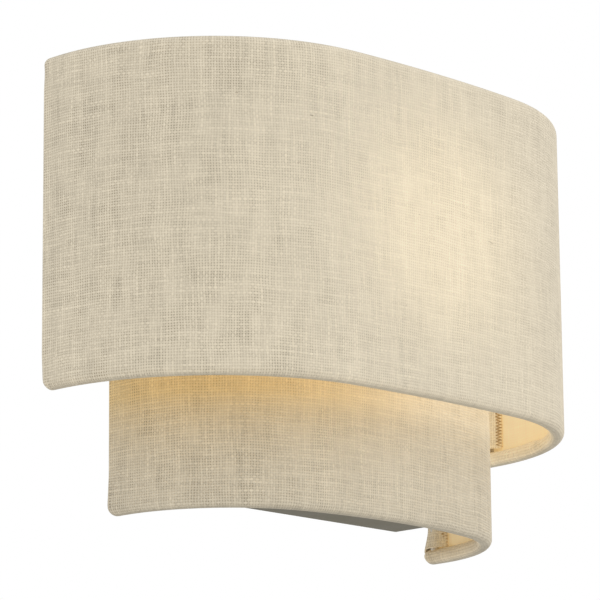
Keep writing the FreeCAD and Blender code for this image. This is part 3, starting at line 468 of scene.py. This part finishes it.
def weave(finish, a, b):
    """Plain weave over thread counts a and b: its height, the threads' shade and the mask of dark fibres.

    Each thread's section is one minus the square of its distance from its middle; it rises and dips as the
    cosine of the other count, and the higher of the two threads shows.  Slow noise along each thread makes
    it thicker and thinner, and a high threshold on noise drawn out along the threads leaves a few dark
    fibres."""
    a = a + (finish.noise(finish.at(a, b), 0.06, 1.0) - 0.5) * 1.6
    b = b + (finish.noise(finish.at(b, a, 4.0), 0.05, 1.0) - 0.5) * 1.6
    i, j = finish.math("FLOOR", a), finish.math("FLOOR", b)
    across_warp, across_weft = a - i - 0.5, b - j - 0.5
    warp_slub = finish.noise(finish.at(i * 7.31, b * 0.06), 1.0, 3.0, 0.6)
    weft_slub = finish.noise(finish.at(a * 0.06, j * 5.77, 9.0), 1.0, 3.0, 0.6)
    warp_width = warp_slub * 0.6 + 0.20
    weft_width = weft_slub * 0.6 + 0.20
    warp_rise = finish.math("COSINE", (b - 0.5 + i) * math.pi)
    weft_rise = finish.math("COSINE", (a - 0.5 + j) * math.pi)
    warp = (1 - (across_warp / warp_width) ** 2) * (warp_rise * 0.30 + 0.70)
    weft = (1 - (across_weft / weft_width) ** 2) * (0.66 - weft_rise * 0.34)
    height = finish.math("MAXIMUM", finish.math("MAXIMUM", warp, weft), 0.0)
    warp_shows = finish.step(warp - weft, -0.12, 0.12)
    shade = warp_slub * warp_shows + weft_slub * (1 - warp_shows)
    upright = finish.step(finish.noise(finish.at(a * 0.9, b * 0.22, 20.0), 1.0, 2.0), 0.735, 0.80)
    level = finish.step(finish.noise(finish.at(a * 0.22, b * 0.9, 40.0), 1.0, 2.0), 0.735, 0.80)
    return height, shade, finish.math("MAXIMUM", upright * warp_shows, level)


def linen(name, cloth, glow, rim=None):
    """Woven linen that follows the sheet's own lengths, with the lamp's light showing through it and lying on
    its inner side.  The map named inside marks the inner side and the painted shade on the rolled edges.

    With a rim, the height of the upper tier's lower edge, a strip of light lies on the cloth below it: the
    exponential of the depth below the rim, yellow to the left and brighter and paler to the right."""
    finish = Finish(name, Roughness=0.92, Sheen_Weight=0.12, Sheen_Roughness=0.6, Specular_IOR_Level=0.2)
    lengths = finish.node("UVMap", {"uv_map": "weave"})
    across, along = finish.part(lengths, 0), finish.part(lengths, 1)
    marks = finish.node("UVMap", {"uv_map": "inside"})
    inner, roll_shade_mark = finish.part(marks, 0), finish.part(marks, 1)
    height, shade, flecks = weave(finish, across / cloth.thread, along / cloth.thread)
    open_patch = finish.step(finish.noise(finish.at(across * 75, along * 42, 3.0), 1.0, 3.0, 0.6), 0.36, 0.66)
    near = finish.far(lamp_centre())
    # painted light: the weave's shading is weaker near the lamp, whose light through the cloth washes it out
    lamp_washout = finish.step(near, 0.07, 0.17) * 0.55 + 0.45
    # painted shade in the gaps between the threads, weaker on the inner side and near the lamp
    gap_shade = (1 - finish.step(height, 0.0, 0.66)) * (open_patch * 0.70 + 0.30) * lamp_washout
    # painted highlight on the tops of the threads
    crest_highlight = finish.step(height, 0.72, 1.0) * lamp_washout * 0.45
    ground = finish.mix(crest_highlight, cloth.linen, tone(250, 242, 222))
    ground = finish.mix(gap_shade * (1 - inner * 0.5), ground, cloth.gap)
    # painted shade: the rolls' turn round the ring wires is painted greyer
    ground = finish.mix(roll_shade_mark * 0.70, ground, tone(190, 182, 164))
    bands = finish.noise(finish.at(across * 110, along * 6), 1.0, 3.0, 0.6)
    cloud = finish.noise(finish.place(), 21.0, 3.0, 0.55)
    level = ((shade - 0.5) * 0.66 + (bands - 0.5) * 0.26) * lamp_washout + (cloud - 0.5) * 0.10 + 1.0
    # the lower tier's linen takes painted shade from the upper tier above it
    cloth_tone = finish.scaled(ground, level if rim is None else level * cloth.lower_tier_shade)
    cloth_tone = finish.mix(flecks * 0.45, cloth_tone, cloth.fleck)
    peak = finish.math("EXPONENT", ((near - LAMP_TO_CLOTH) / glow.reach) ** 2 * -1) * glow.cloth
    through = glow.through
    if rim is not None:
        below = finish.math("MAXIMUM", rim - finish.part(finish.place(), 2), 0.0)
        strip = finish.math("EXPONENT", below / STRIP_DEPTH * -1) * (1 - inner)
        to_right = finish.step(finish.part(finish.place(), 0), -0.11, 0.045)
        # painted warm lamp light tints the cloth in the strip
        lamp_lit = finish.tint(cloth_tone, tone(250, 232, 184))
        cloth_tone = finish.mix(strip * (0.70 - to_right * 0.52), cloth_tone, lamp_lit)
        peak = strip * (to_right * 1.7 + 0.85) * glow.cloth
        through = finish.mix(to_right, through, tone(224, 238, 255))
    lamp_side = finish.math("EXPONENT", (near - LAMP_TO_CLOTH) / INSIDE_REACH * -1) * glow.inside
    lamp_side = lamp_side * inner * 0.66
    outer_light = finish.scaled(finish.tint(cloth_tone, through), peak)
    inner_light = finish.scaled(finish.tint(cloth_tone, glow.warm), lamp_side)
    finish.feed("Base Color", cloth_tone)
    finish.shine(finish.mix(1.0, outer_light, inner_light, "ADD"))
    finish.bump(height, 0.0004, 0.7)
    return finish.material


def lining_sheet(name, cloth, glow):
    """Smooth pale lining with the weave's ghost behind it, brightest near the lamp."""
    finish = Finish(name, Roughness=0.55, Specular_IOR_Level=0.35)
    lengths = finish.node("UVMap", {"uv_map": "weave"})
    across, along = finish.part(lengths, 0), finish.part(lengths, 1)
    height, shade, flecks = weave(finish, across / cloth.thread, along / cloth.thread)
    bands = finish.noise(finish.at(across * 90, along * 9), 1.0, 3.0, 0.6)
    level = (height - 0.5) * 0.06 + (shade - 0.5) * 0.14 + (bands - 0.5) * 0.16 + 1.0
    ground = finish.scaled(cloth.lining, level)
    ground = finish.mix(flecks * 0.20, ground, cloth.fleck)
    near = finish.far(lamp_centre())
    lamp_side = finish.math("EXPONENT", (near - LAMP_TO_CLOTH) / INSIDE_REACH * -1) * glow.inside
    finish.feed("Base Color", ground)
    finish.shine(finish.scaled(finish.tint(ground, glow.warm), lamp_side))
    finish.bump(height, 0.0001, 0.3)
    return finish.material


def satin_metal(name, base, metallic, roughness, grain, wear):
    """Metal with fine grain, cloudy patches of tone and a brighter rubbed share."""
    finish = Finish(name, Metallic=metallic)
    fine = finish.noise(finish.place(), grain, 4.0, 0.65)
    patches = finish.noise(finish.place(), 38.0, 4.0, 0.6)
    level = (fine - 0.5) * 0.3 + (patches - 0.5) * 0.5 + 1.0
    ground = finish.scaled(base, level)
    rubbed = finish.step(patches + (fine - 0.5) * 0.25, 0.58, 0.74) * wear
    finish.feed("Base Color", finish.mix(rubbed, ground, tuple(min(1.0, c * 1.7) for c in base)))
    finish.feed("Roughness", (fine - 0.5) * 0.18 + (patches - 0.5) * 0.16 + roughness)
    finish.bump(fine, 0.00008, 0.4)
    return finish.material


def moulded(name, base, roughness, bumpiness=0.25):
    """Moulded plastic or paint: a faint fine texture and a slow drift of tone."""
    finish = Finish(name, Specular_IOR_Level=0.5)
    fine = finish.noise(finish.place(), 1500.0, 2.0)
    drift = finish.noise(finish.place(), 55.0, 3.0)
    level = (drift - 0.5) * 0.10 + (fine - 0.5) * 0.05 + 1.0
    finish.feed("Base Color", finish.scaled(base, level))
    finish.feed("Roughness", (fine - 0.5) * 0.12 + (drift - 0.5) * 0.10 + roughness)
    finish.bump(fine, 0.00005, bumpiness)
    return finish.material


# ---- cloth ------------------------------------------------------------------------------------
def wall_section(tier, cloth):
    """The wall's section as (inward, height) points from the lower hem's edge to the upper hem's edge.

    From the hem's edge on the lining it swells out to the roll, goes round the roll's half circle, runs
    straight along the outer face, and mirrors at the top.  Returned with the length travelled so far, the
    share of each point that lies inside, the share that takes painted shade where the roll turns round the
    ring wire, and the count of points up to the end of the half circle."""
    half = cloth.thickness / 2
    radius = cloth.roll / 2 - half
    edge = EDGE_DEPTH + half
    t = np.linspace(0, 1, 12)
    hem_n = edge + (cloth.roll - half - edge) * (1 - (1 - t) ** 2.2) ** 0.8
    hem_z = cloth.hem + (cloth.roll / 2 - cloth.hem) * t
    angle = np.linspace(0, -math.pi, 17)[1:]
    n = np.concatenate([hem_n, cloth.roll / 2 + radius * np.cos(angle)])
    z = np.concatenate([hem_z, cloth.roll / 2 + radius * np.sin(angle)])
    inner = np.concatenate([0 * hem_n + 1, ease((np.cos(angle) - 0.1) / 0.8)])
    # painted shade share: one where the roll's turn faces straight down, or up at the top roll
    band = np.concatenate([0 * hem_n, ease((0.85 - np.abs(np.cos(angle))) / 0.6)])
    tall = tier.top - tier.bottom
    rise = np.linspace(cloth.roll / 2, tall - cloth.roll / 2, int(tall / GRID_STEP))[1:-1]
    count = len(n)
    n = np.concatenate([n, half + 0 * rise, n[::-1]])
    z = np.concatenate([z, rise, tall - z[::-1]])
    inner = np.concatenate([inner, 0 * rise, inner[::-1]])
    band = np.concatenate([band, 0 * rise, band[::-1]])
    travelled = np.concatenate([[0], np.cumsum(np.hypot(np.diff(n), np.diff(z)))])
    return n, z, travelled, inner, band, count


def wall_cloth(tier, cloth, seed):
    """The wall with its rolled edges: the section carried along the plan curve, with small uneven waves in
    the hem and the roll.  At each end wire the wall stops, and each roll closes in a rounded nose."""
    n, z, travelled, inner, band, count = wall_section(tier, cloth)
    tall = tier.top - tier.bottom
    centre = cloth.roll / 2
    s = np.linspace(centre, tier.length - centre, int((tier.length - 2 * centre) / GRID_STEP))
    along, inward = np.meshgrid(s, n, indexing="ij")
    height = np.broadcast_to(z, along.shape).copy()
    from_edge = np.minimum(height, tall - height)
    side = np.where(height < tall / 2, 1.0, -1.0)
    in_hem = ease((from_edge - centre) / centre) * inner
    hem_wave = ripple(along, 0.047, seed) * 0.0005 + ripple(along, 0.011, seed + 2) * 0.00018
    height = height + side * in_hem * hem_wave
    roll_wave = ripple(along, 0.021, seed + 5) * 0.00012 + ripple(along, 0.0067, seed + 7) * 0.00005
    fade = ease((np.minimum(along, tier.length - along) - centre) / 0.006)
    inward = inward + roll_wave * inner * fade
    sway = ripple(along, 0.083, seed + 9) * ripple(height, 0.061, seed + 11)
    inward = inward + 0.00010 * sway * fade * (1 - inner) * ease((from_edge - centre) / 0.01)
    level = 0 * along
    parts = [(tier.place(along, inward, height), along, travelled + level, inner + level, band + level)]
    faces = [grid_faces(len(s), len(n))]
    used = len(s) * len(n)
    rows = len(n)
    for end, outward in ((centre, -1.0), (tier.length - centre, 1.0)):
        for low in (True, False):
            chosen = np.arange(count) if low else np.arange(rows - count, rows)
            chosen = chosen[np.minimum(z[chosen], tall - z[chosen]) < cloth.roll]
            turn = np.linspace(0, math.pi / 2 * 0.985, 9)[:, None]
            middle = centre if low else tall - centre
            nn = centre + (n[chosen] - centre) * np.cos(turn) ** 0.8
            zz = middle + (z[chosen] - middle) * np.cos(turn) ** 0.8
            ss = end + outward * (centre - cloth.thickness / 2) * np.sin(turn) ** 0.8 + 0 * nn
            here = (travelled[chosen] + 0 * ss, inner[chosen] + 0 * ss, band[chosen] + 0 * ss)
            parts.append((tier.place(ss, nn, zz), ss, *here))
            nose = grid_faces(len(turn), len(chosen))
            faces.append((nose if outward > 0 else nose[:, ::-1]) + used)
            used += nn.size
    points = np.concatenate([part[0].reshape(-1, 3) for part in parts])
    weave_map = np.concatenate([np.stack(part[1:3], axis=-1).reshape(-1, 2) for part in parts])
    inside_map = np.concatenate([np.stack(part[3:5], axis=-1).reshape(-1, 2) for part in parts])
    return points, np.concatenate(faces), {"weave": weave_map, "inside": inside_map}


def end_column(tier, cloth, flap, slit, seed, right):
    """The cloth turned round an end wire: on from the wall, round the end, then back inside as a slack flap.

    In plan it runs straight on to the turn, follows a half circle squared a little by a power below one, and
    then swells back to the lining as one minus a power.  The turn's width grows to the ring's roll near the
    top and bottom.  Inside, the lower and upper edges stand back from the roll, which leaves a mitred
    slit."""
    half = cloth.thickness / 2
    centre = cloth.roll / 2
    tall = tier.top - tier.bottom
    u = np.concatenate([
        np.linspace(0, 0.08, 3)[:-1],
        np.linspace(0.08, 0.38, 19)[:-1],
        0.38 + 0.62 * (1 - (1 - np.linspace(0, 1, 22)) ** 1.6),
    ])
    v = np.linspace(0, 1, int(tall / 0.0020))
    uu, vv = np.meshgrid(u, v, indexing="ij")
    rise = centre + ease((uu - 0.16) / 0.20) * (cloth.roll + slit - centre)
    height = rise + (tall - 2 * rise) * vv
    from_edge = np.minimum(height, tall - height)
    thick = cloth.end_roll + (cloth.roll - cloth.end_roll) * (1 - ease((from_edge - 0.0045) / 0.013))
    radius = thick / 2 - half
    lead = np.clip(uu / 0.08, 0, 1)
    turn = np.clip((uu - 0.08) / 0.30, 0, 1) * math.pi
    cosine = np.cos(turn)
    along = centre + (thick / 2 - centre) * lead - radius * np.abs(np.sin(turn)) ** 0.8
    inward = thick / 2 - radius * np.sign(cosine) * np.abs(cosine) ** 0.8
    t = np.clip((uu - 0.38) / 0.62, 0, 1)
    wave = ripple(height, 0.033, seed) * 0.0004 + ripple(height, 0.009, seed + 3) * 0.00012
    edge_n = EDGE_DEPTH + half
    along = along + (flap + wave - thick / 2) * t
    slack = edge_n + (thick - half - edge_n) * (1 - t**2.4) ** 0.6
    puff = 0.0005 * np.sin(math.pi * t) * (1 + 0.5 * ripple(height, 0.05, seed + 6))
    inward = np.where(t > 0, slack + puff, inward)
    path = np.concatenate([[0], np.cumsum(np.hypot(np.diff(along[:, 8]), np.diff(inward[:, 8])))])
    start = centre - path[:, None] + 0 * vv
    s = along if right else tier.length - along
    run = start if right else tier.length - start
    section = wall_section(tier, cloth)
    offset = section[2][section[5] - 1] - centre
    faces = grid_faces(len(u), len(v))
    maps = {
        "weave": np.stack([run, height + offset], axis=-1),
        "inside": np.stack([ease((uu - 0.22) / 0.16), 0 * uu], axis=-1),
    }
    edge = (along[-1], inward[-1], height[-1])
    return tier.place(s, inward, height), faces[:, ::-1] if right else faces, maps, edge


def stitches(tier, flap_edge, right):
    """Overlock thread along a flap's edge: a zigzag on the flap's face that dips over the edge at every turn,
    carried as a thin round tube."""
    along, inward, height = flap_edge
    low, high = height.min() + 0.001, height.max() - 0.001
    t = np.arange(0, (high - low) / STITCH_PITCH, 1 / 12)
    z = low + t * STITCH_PITCH
    swing = 1 - np.abs((t % 1) * 2 - 1)
    s = np.interp(z, height, along) + 0.0004 - STITCH_WIDTH * swing
    lift = np.interp(swing, [0, 0.2, 0.6, 1], [-0.0002, 0.0009, 0.0020, 0.0026])
    n = np.interp(z, height, inward) + lift + 0.00008 * np.sin(7.3 * t)
    return tube(tier.place(s if right else tier.length - s, n, z), STITCH_RADIUS, 6)


def tube(centre, radius, sides):
    """A round tube carried along points: a circle in the plane across the path at each point."""
    along = np.gradient(centre, axis=0)
    along /= np.linalg.norm(along, axis=1, keepdims=True)
    up = np.array([0.31, 0.22, 0.92])
    first = np.cross(along, up)
    first /= np.linalg.norm(first, axis=1, keepdims=True)
    second = np.cross(along, first)
    angle = np.linspace(0, 2 * math.pi, sides, endpoint=False)
    cosine, sine = np.cos(angle)[None, :, None], np.sin(angle)[None, :, None]
    ring = first[:, None, :] * cosine + second[:, None, :] * sine
    points = centre[:, None, :] + radius * ring
    faces = grid_faces(len(centre), sides, around=True)
    caps = [np.arange(sides)[::-1], np.arange(sides) + (len(centre) - 1) * sides]
    return points.reshape(-1, 3), faces[:, ::-1], caps


def lining_band(tier, flap):
    """The lining sheet: a plain band on the inner face between the hems, carried along the plan curve."""
    s = np.linspace(flap - LINING_LAP, tier.length - flap + LINING_LAP, int(tier.length / 0.0030))
    z = np.linspace(LINING_MARGIN, tier.top - tier.bottom - LINING_MARGIN, 40)
    along, height = np.meshgrid(s, z, indexing="ij")
    maps = {"weave": np.stack([along, height], axis=-1)}
    return tier.place(along, LINING_DEPTH + 0 * along, height), grid_faces(len(s), len(z)), maps


def tiers(context):
    """Both tiers with their names, flap widths, slits and seeds."""
    cloth = context.scene.wall_light_cloth
    upper = Tier("upper_cover", cloth.upper_front_radius, cloth.side_straight, 0.0, TOP_FLARE)
    lower = Tier("lower_cover", cloth.lower_front_radius, cloth.side_straight, cloth.flare, 0.0)
    return [
        ("upper", upper, cloth.upper_flap, cloth.upper_slit, 1.0),
        ("lower", lower, cloth.lower_flap, cloth.lower_slit, 4.0),
    ]


# ---- operators --------------------------------------------------------------------------------
class WALLLIGHT_OT_covers(bpy.types.Operator):
    """Build the linen of both tiers: walls with rolled edges and cloth turned round the end wires"""

    bl_idname = "wall_light.covers"
    bl_label = "Linen covers"

    def execute(self, context):
        cloth, glow = context.scene.wall_light_cloth, context.scene.wall_light_glow
        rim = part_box("upper_cover")[0].z
        for name, tier, flap, slit, seed in tiers(context):
            finish = linen(name + "_linen", cloth, glow, rim if name == "lower" else None)
            points, faces, maps = wall_cloth(tier, cloth, seed)
            wall = mesh_piece(name + "_tier_cloth", points, faces, maps)
            give(thicken(wall, cloth.thickness), finish)
            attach(wall, "shade")
            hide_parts(name + "_cover")
            float(wall_section(tier, cloth)[2][-1])
            for right in (True, False):
                side = "right" if right else "left"
                points, faces, maps, flap_edge = end_column(tier, cloth, flap, slit, seed + right, right)
                column = mesh_piece(f"{name}_end_cloth_{side}", points, faces, maps)
                give(thicken(column, cloth.thickness), finish)
                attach(column, "shade")
                points, faces, ends = stitches(tier, flap_edge, right)
                seam = mesh_piece(f"{name}_flap_stitches_{side}", points, faces, ends=ends)
                give(seam, stitch_thread(cloth))
                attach(seam, "shade")
        return {"FINISHED"}


def stitch_thread(cloth):
    """Twisted sewing thread."""
    found = bpy.data.materials.get("overlock_thread")
    if found:
        return found
    finish = Finish("overlock_thread", Roughness=0.8, Sheen_Weight=0.2)
    twist = finish.node("TexWave", {"wave_type": "BANDS", "bands_direction": "DIAGONAL"},
                        {"Vector": finish.place(), "Scale": 900.0, "Distortion": 1.0})
    level = twist * 0.25 + 0.85
    finish.feed("Base Color", finish.scaled(cloth.stitch, level))
    finish.bump(twist, 0.00008, 0.5)
    return finish.material


class WALLLIGHT_OT_lining(bpy.types.Operator):
    """Build the lining sheet inside each tier"""

    bl_idname = "wall_light.lining"
    bl_label = "Lining"

    def execute(self, context):
        cloth, glow = context.scene.wall_light_cloth, context.scene.wall_light_glow
        for name, tier, flap, _, _ in tiers(context):
            points, faces, maps = lining_band(tier, flap)
            sheet = mesh_piece(name + "_lining_sheet", points, faces, maps)
            give(thicken(sheet, LINING_THICKNESS), lining_sheet(name + "_lining_finish", cloth, glow))
            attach(sheet, "shade")
            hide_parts(name + "_lining")
        return {"FINISHED"}


class WALLLIGHT_OT_frame(bpy.types.Operator):
    """Finish the shade's wire frame and cross bar"""

    bl_idname = "wall_light.frame"
    bl_label = "Wire frame"

    def execute(self, context):
        metal = context.scene.wall_light_metal
        names = ["cross_bar"]
        for tier_name in ("upper", "lower"):
            names += [f"{tier_name}_{wire}" for wire in ("top_ring", "bottom_ring", "end_wires")]
        refinish(names, moulded("white_powder_coat", tuple(metal.white), 0.42, 0.6))
        return {"FINISHED"}


class WALLLIGHT_OT_wall_box(bpy.types.Operator):
    """Finish the wall box, the arm, the strap and their fixings"""

    bl_idname = "wall_light.wall_box"
    bl_label = "Wall box and fixings"

    def execute(self, context):
        metal = context.scene.wall_light_metal
        refinish(
            ["wall_box", "lampholder_arm"],
            satin_metal("antique_bronze", tuple(metal.bronze), 0.45, 0.44, 900.0, 0.4),
        )
        refinish(
            ["wall_strap", "strap_studs", "terminal_screws", "block_screws", "arm_rivets", "earth_screw"],
            satin_metal("zinc_plate", tuple(metal.zinc), 1.0, 0.36, 700.0, 0.4),
        )
        refinish(
            ["terminal_barrels", "screw_shell", "centre_contact", "holder_nipple", "nipple_nut", "lamp_tip",
             "earth_lug", "washer_right", "washer_left", "cap_nut_right", "cap_nut_left"],
            satin_metal("plain_brass", tuple(metal.brass), 1.0, 0.28, 800.0, 0.3),
        )
        return {"FINISHED"}


class WALLLIGHT_OT_lamp(bpy.types.Operator):
    """Finish the lampholder and the lamp"""

    bl_idname = "wall_light.lamp"
    bl_label = "Lampholder and lamp"

    def execute(self, context):
        glow = context.scene.wall_light_glow
        refinish(["holder_cap", "holder_sleeve"], moulded("white_holder", tone(232, 230, 222), 0.38, 0.5))
        glazed = moulded("glazed_white", tone(236, 233, 224), 0.22, 0.3)
        refinish(["holder_insert", "holder_core", "terminal_block"], glazed)
        refinish(["lamp_cap"], satin_metal("lamp_cap_metal", tone(196, 196, 190), 1.0, 0.3, 600.0, 0.2))
        refinish(["lamp_insulator", "wire_grommet"], moulded("black_moulding", tone(34, 33, 32), 0.4, 0.6))
        refinish(["lamp_housing", "led_board"], moulded("white_housing", tone(238, 237, 232), 0.35, 0.3))
        refinish(["lamp_globe"], opal(glow))
        return {"FINISHED"}


def opal(glow):
    """Opal diffuser lit from inside, a little dimmer towards its seam."""
    finish = Finish("opal_globe", Roughness=0.3, Specular_IOR_Level=0.5)
    low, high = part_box("lamp_globe")
    rise = (finish.part(finish.place(), 2) - low.z) / (high.z - low.z)
    grain = finish.noise(finish.place(), 400.0, 2.0)
    level = finish.step(rise, 0.0, 0.5) * 0.35 + 0.65 + (grain - 0.5) * 0.03
    finish.feed("Base Color", tone(250, 244, 230))
    finish.shine(finish.mix(0.45, finish.scaled(glow.warm, level), (1.0, 1.0, 1.0)), glow.globe)
    return finish.material


class WALLLIGHT_OT_wires(bpy.types.Operator):
    """Finish the insulated wires inside the light"""

    bl_idname = "wall_light.wires"
    bl_label = "Wires"

    def execute(self, context):
        refinish(["live_wire"], moulded("brown_sleeve", tone(112, 70, 42), 0.4, 0.4))
        refinish(["neutral_wire"], moulded("blue_sleeve", tone(52, 92, 168), 0.4, 0.4))
        refinish(["earth_wire"], striped("earth_sleeve"))
        return {"FINISHED"}


def striped(name):
    """Green insulation with yellow stripes along it."""
    finish = Finish(name, Roughness=0.4)
    wave = finish.node("TexWave", {"wave_type": "BANDS", "bands_direction": "X"},
                       {"Vector": finish.place(), "Scale": 110.0, "Distortion": 0.4})
    fine = finish.noise(finish.place(), 900.0, 2.0)
    mask = finish.step(wave, 0.46, 0.54)
    finish.feed("Base Color", finish.mix(mask, tone(62, 132, 58), tone(226, 206, 62)))
    finish.bump(fine, 0.00004, 0.3)
    return finish.material


class WALLLIGHT_OT_stage(bpy.types.Operator):
    """Set the floor, the soft studio light and the camera"""

    bl_idname = "wall_light.stage"
    bl_label = "Stage"

    def execute(self, context):
        stage = context.scene.wall_light_stage
        reach = np.array([[-6, -6], [6, -6], [6, 6], [-6, 6]], dtype=float)
        points = np.column_stack([reach, np.full(4, stage.floor_level)])
        floor = mesh_piece("floor", points, np.array([[0, 1, 2, 3]]))
        give(floor, floor_finish(tuple(stage.floor)))
        world(context.scene, stage.sky)
        softbox("key_light", (1.9, -2.3, 1.5), 2.0, stage.key)
        softbox("fill_light", (-2.4, -1.6, 0.8), 2.0, stage.fill)
        context.scene.view_settings.view_transform = "Standard"
        camera(context.scene, stage.lens)
        return {"FINISHED"}


def floor_finish(base):
    """Plain pale floor with a faint grain."""
    finish = Finish("floor_finish", Roughness=0.85)
    fine = finish.noise(finish.place(), 60.0, 3.0)
    level = (fine - 0.5) * 0.015 + 1.0
    finish.feed("Base Color", finish.scaled(base, level))
    return finish.material


def world(scene, sky):
    """Pale light all round, dimmer from below, and plain white where the camera, a reflection or glass sees
    past the object."""
    made = bpy.data.worlds.new("studio")
    scene.world = made
    made.use_nodes = True
    graph = Graph(made.node_tree)
    seen = 0.0
    for kind in ("Camera", "Glossy", "Transmission"):
        seen = graph.math("MAXIMUM", seen, graph.node("LightPath", output=f"Is {kind} Ray"))
    rise = graph.part(graph.node("TexCoord", output="Generated"), 2)
    gradient = {"Value": rise, "From Min": -1.0, "To Min": sky * 0.50, "To Max": sky * 1.50}
    overhead = graph.node("MapRange", (), gradient)
    level = graph.node("MapRange", (), {"Value": seen, "To Min": overhead, "To Max": 1.0})
    graph.end("OutputWorld", graph.node("Background", (), {"Color": (1.0, 1.0, 1.0), "Strength": level}))


def softbox(name, place, size, power):
    """A large square lamp aimed at the light."""
    data = bpy.data.lights.new(name, "AREA")
    data.shape = "SQUARE"
    data.size = size
    data.energy = power
    lamp = bpy.data.objects.new(name, data)
    lamp.location = place
    aim = -lamp.location
    lamp.rotation_euler = aim.to_track_quat("-Z", "Y").to_euler()
    bpy.context.scene.collection.objects.link(lamp)


def camera(scene, lens):
    """The photograph's view: from below and to the left, with a long lens."""
    data = bpy.data.cameras.new("camera")
    data.lens = lens
    data.sensor_width = 36.0
    data.clip_end = 50.0
    seen = bpy.data.objects.new("camera", data)
    angles = {name: math.radians(value) for name, value in CAMERA_ANGLES.items()}
    heading = Matrix.Rotation(angles["heading"], 4, "Z")
    tilt = Matrix.Rotation(angles["tilt"], 4, "X")
    roll = Matrix.Rotation(angles["roll"], 4, "Z")
    seen.matrix_world = Matrix.Translation(CAMERA_PLACE) @ heading @ tilt @ roll
    scene.collection.objects.link(seen)
    scene.camera = seen


# ---- panel and registration -------------------------------------------------------------------
OPERATORS = (
    WALLLIGHT_OT_covers,
    WALLLIGHT_OT_lining,
    WALLLIGHT_OT_frame,
    WALLLIGHT_OT_wall_box,
    WALLLIGHT_OT_lamp,
    WALLLIGHT_OT_wires,
    WALLLIGHT_OT_stage,
)
GROUPS = {
    "wall_light_cloth": WallLightCloth,
    "wall_light_glow": WallLightGlow,
    "wall_light_metal": WallLightMetal,
    "wall_light_stage": WallLightStage,
}


class WALLLIGHT_PT_panel(bpy.types.Panel):
    """Lists the wall light's operators and their settings"""

    bl_label = "Wall Light"
    bl_idname = "WALLLIGHT_PT_panel"
    bl_space_type = "VIEW_3D"
    bl_region_type = "UI"
    bl_category = "Wall Light"

    def draw(self, context):
        for piece in OPERATORS:
            self.layout.operator(piece.bl_idname)
        for name, group in GROUPS.items():
            settings = getattr(context.scene, name)
            column = self.layout.column()
            for prop in group.__annotations__:
                column.prop(settings, prop)


def register():
    for item in (*GROUPS.values(), *OPERATORS, WALLLIGHT_PT_panel):
        bpy.utils.register_class(item)
    for name, group in GROUPS.items():
        setattr(bpy.types.Scene, name, PointerProperty(type=group))


def unregister():
    for name in GROUPS:
        delattr(bpy.types.Scene, name)
    for item in reversed((*GROUPS.values(), *OPERATORS, WALLLIGHT_PT_panel)):
        bpy.utils.unregister_class(item)


def main():
    register()
    bpy.ops.wall_light.covers()
    bpy.ops.wall_light.lining()
    bpy.ops.wall_light.frame()
    bpy.ops.wall_light.wall_box()
    bpy.ops.wall_light.lamp()
    bpy.ops.wall_light.wires()
    bpy.ops.wall_light.stage()


if __name__ == "__main__":
    main()
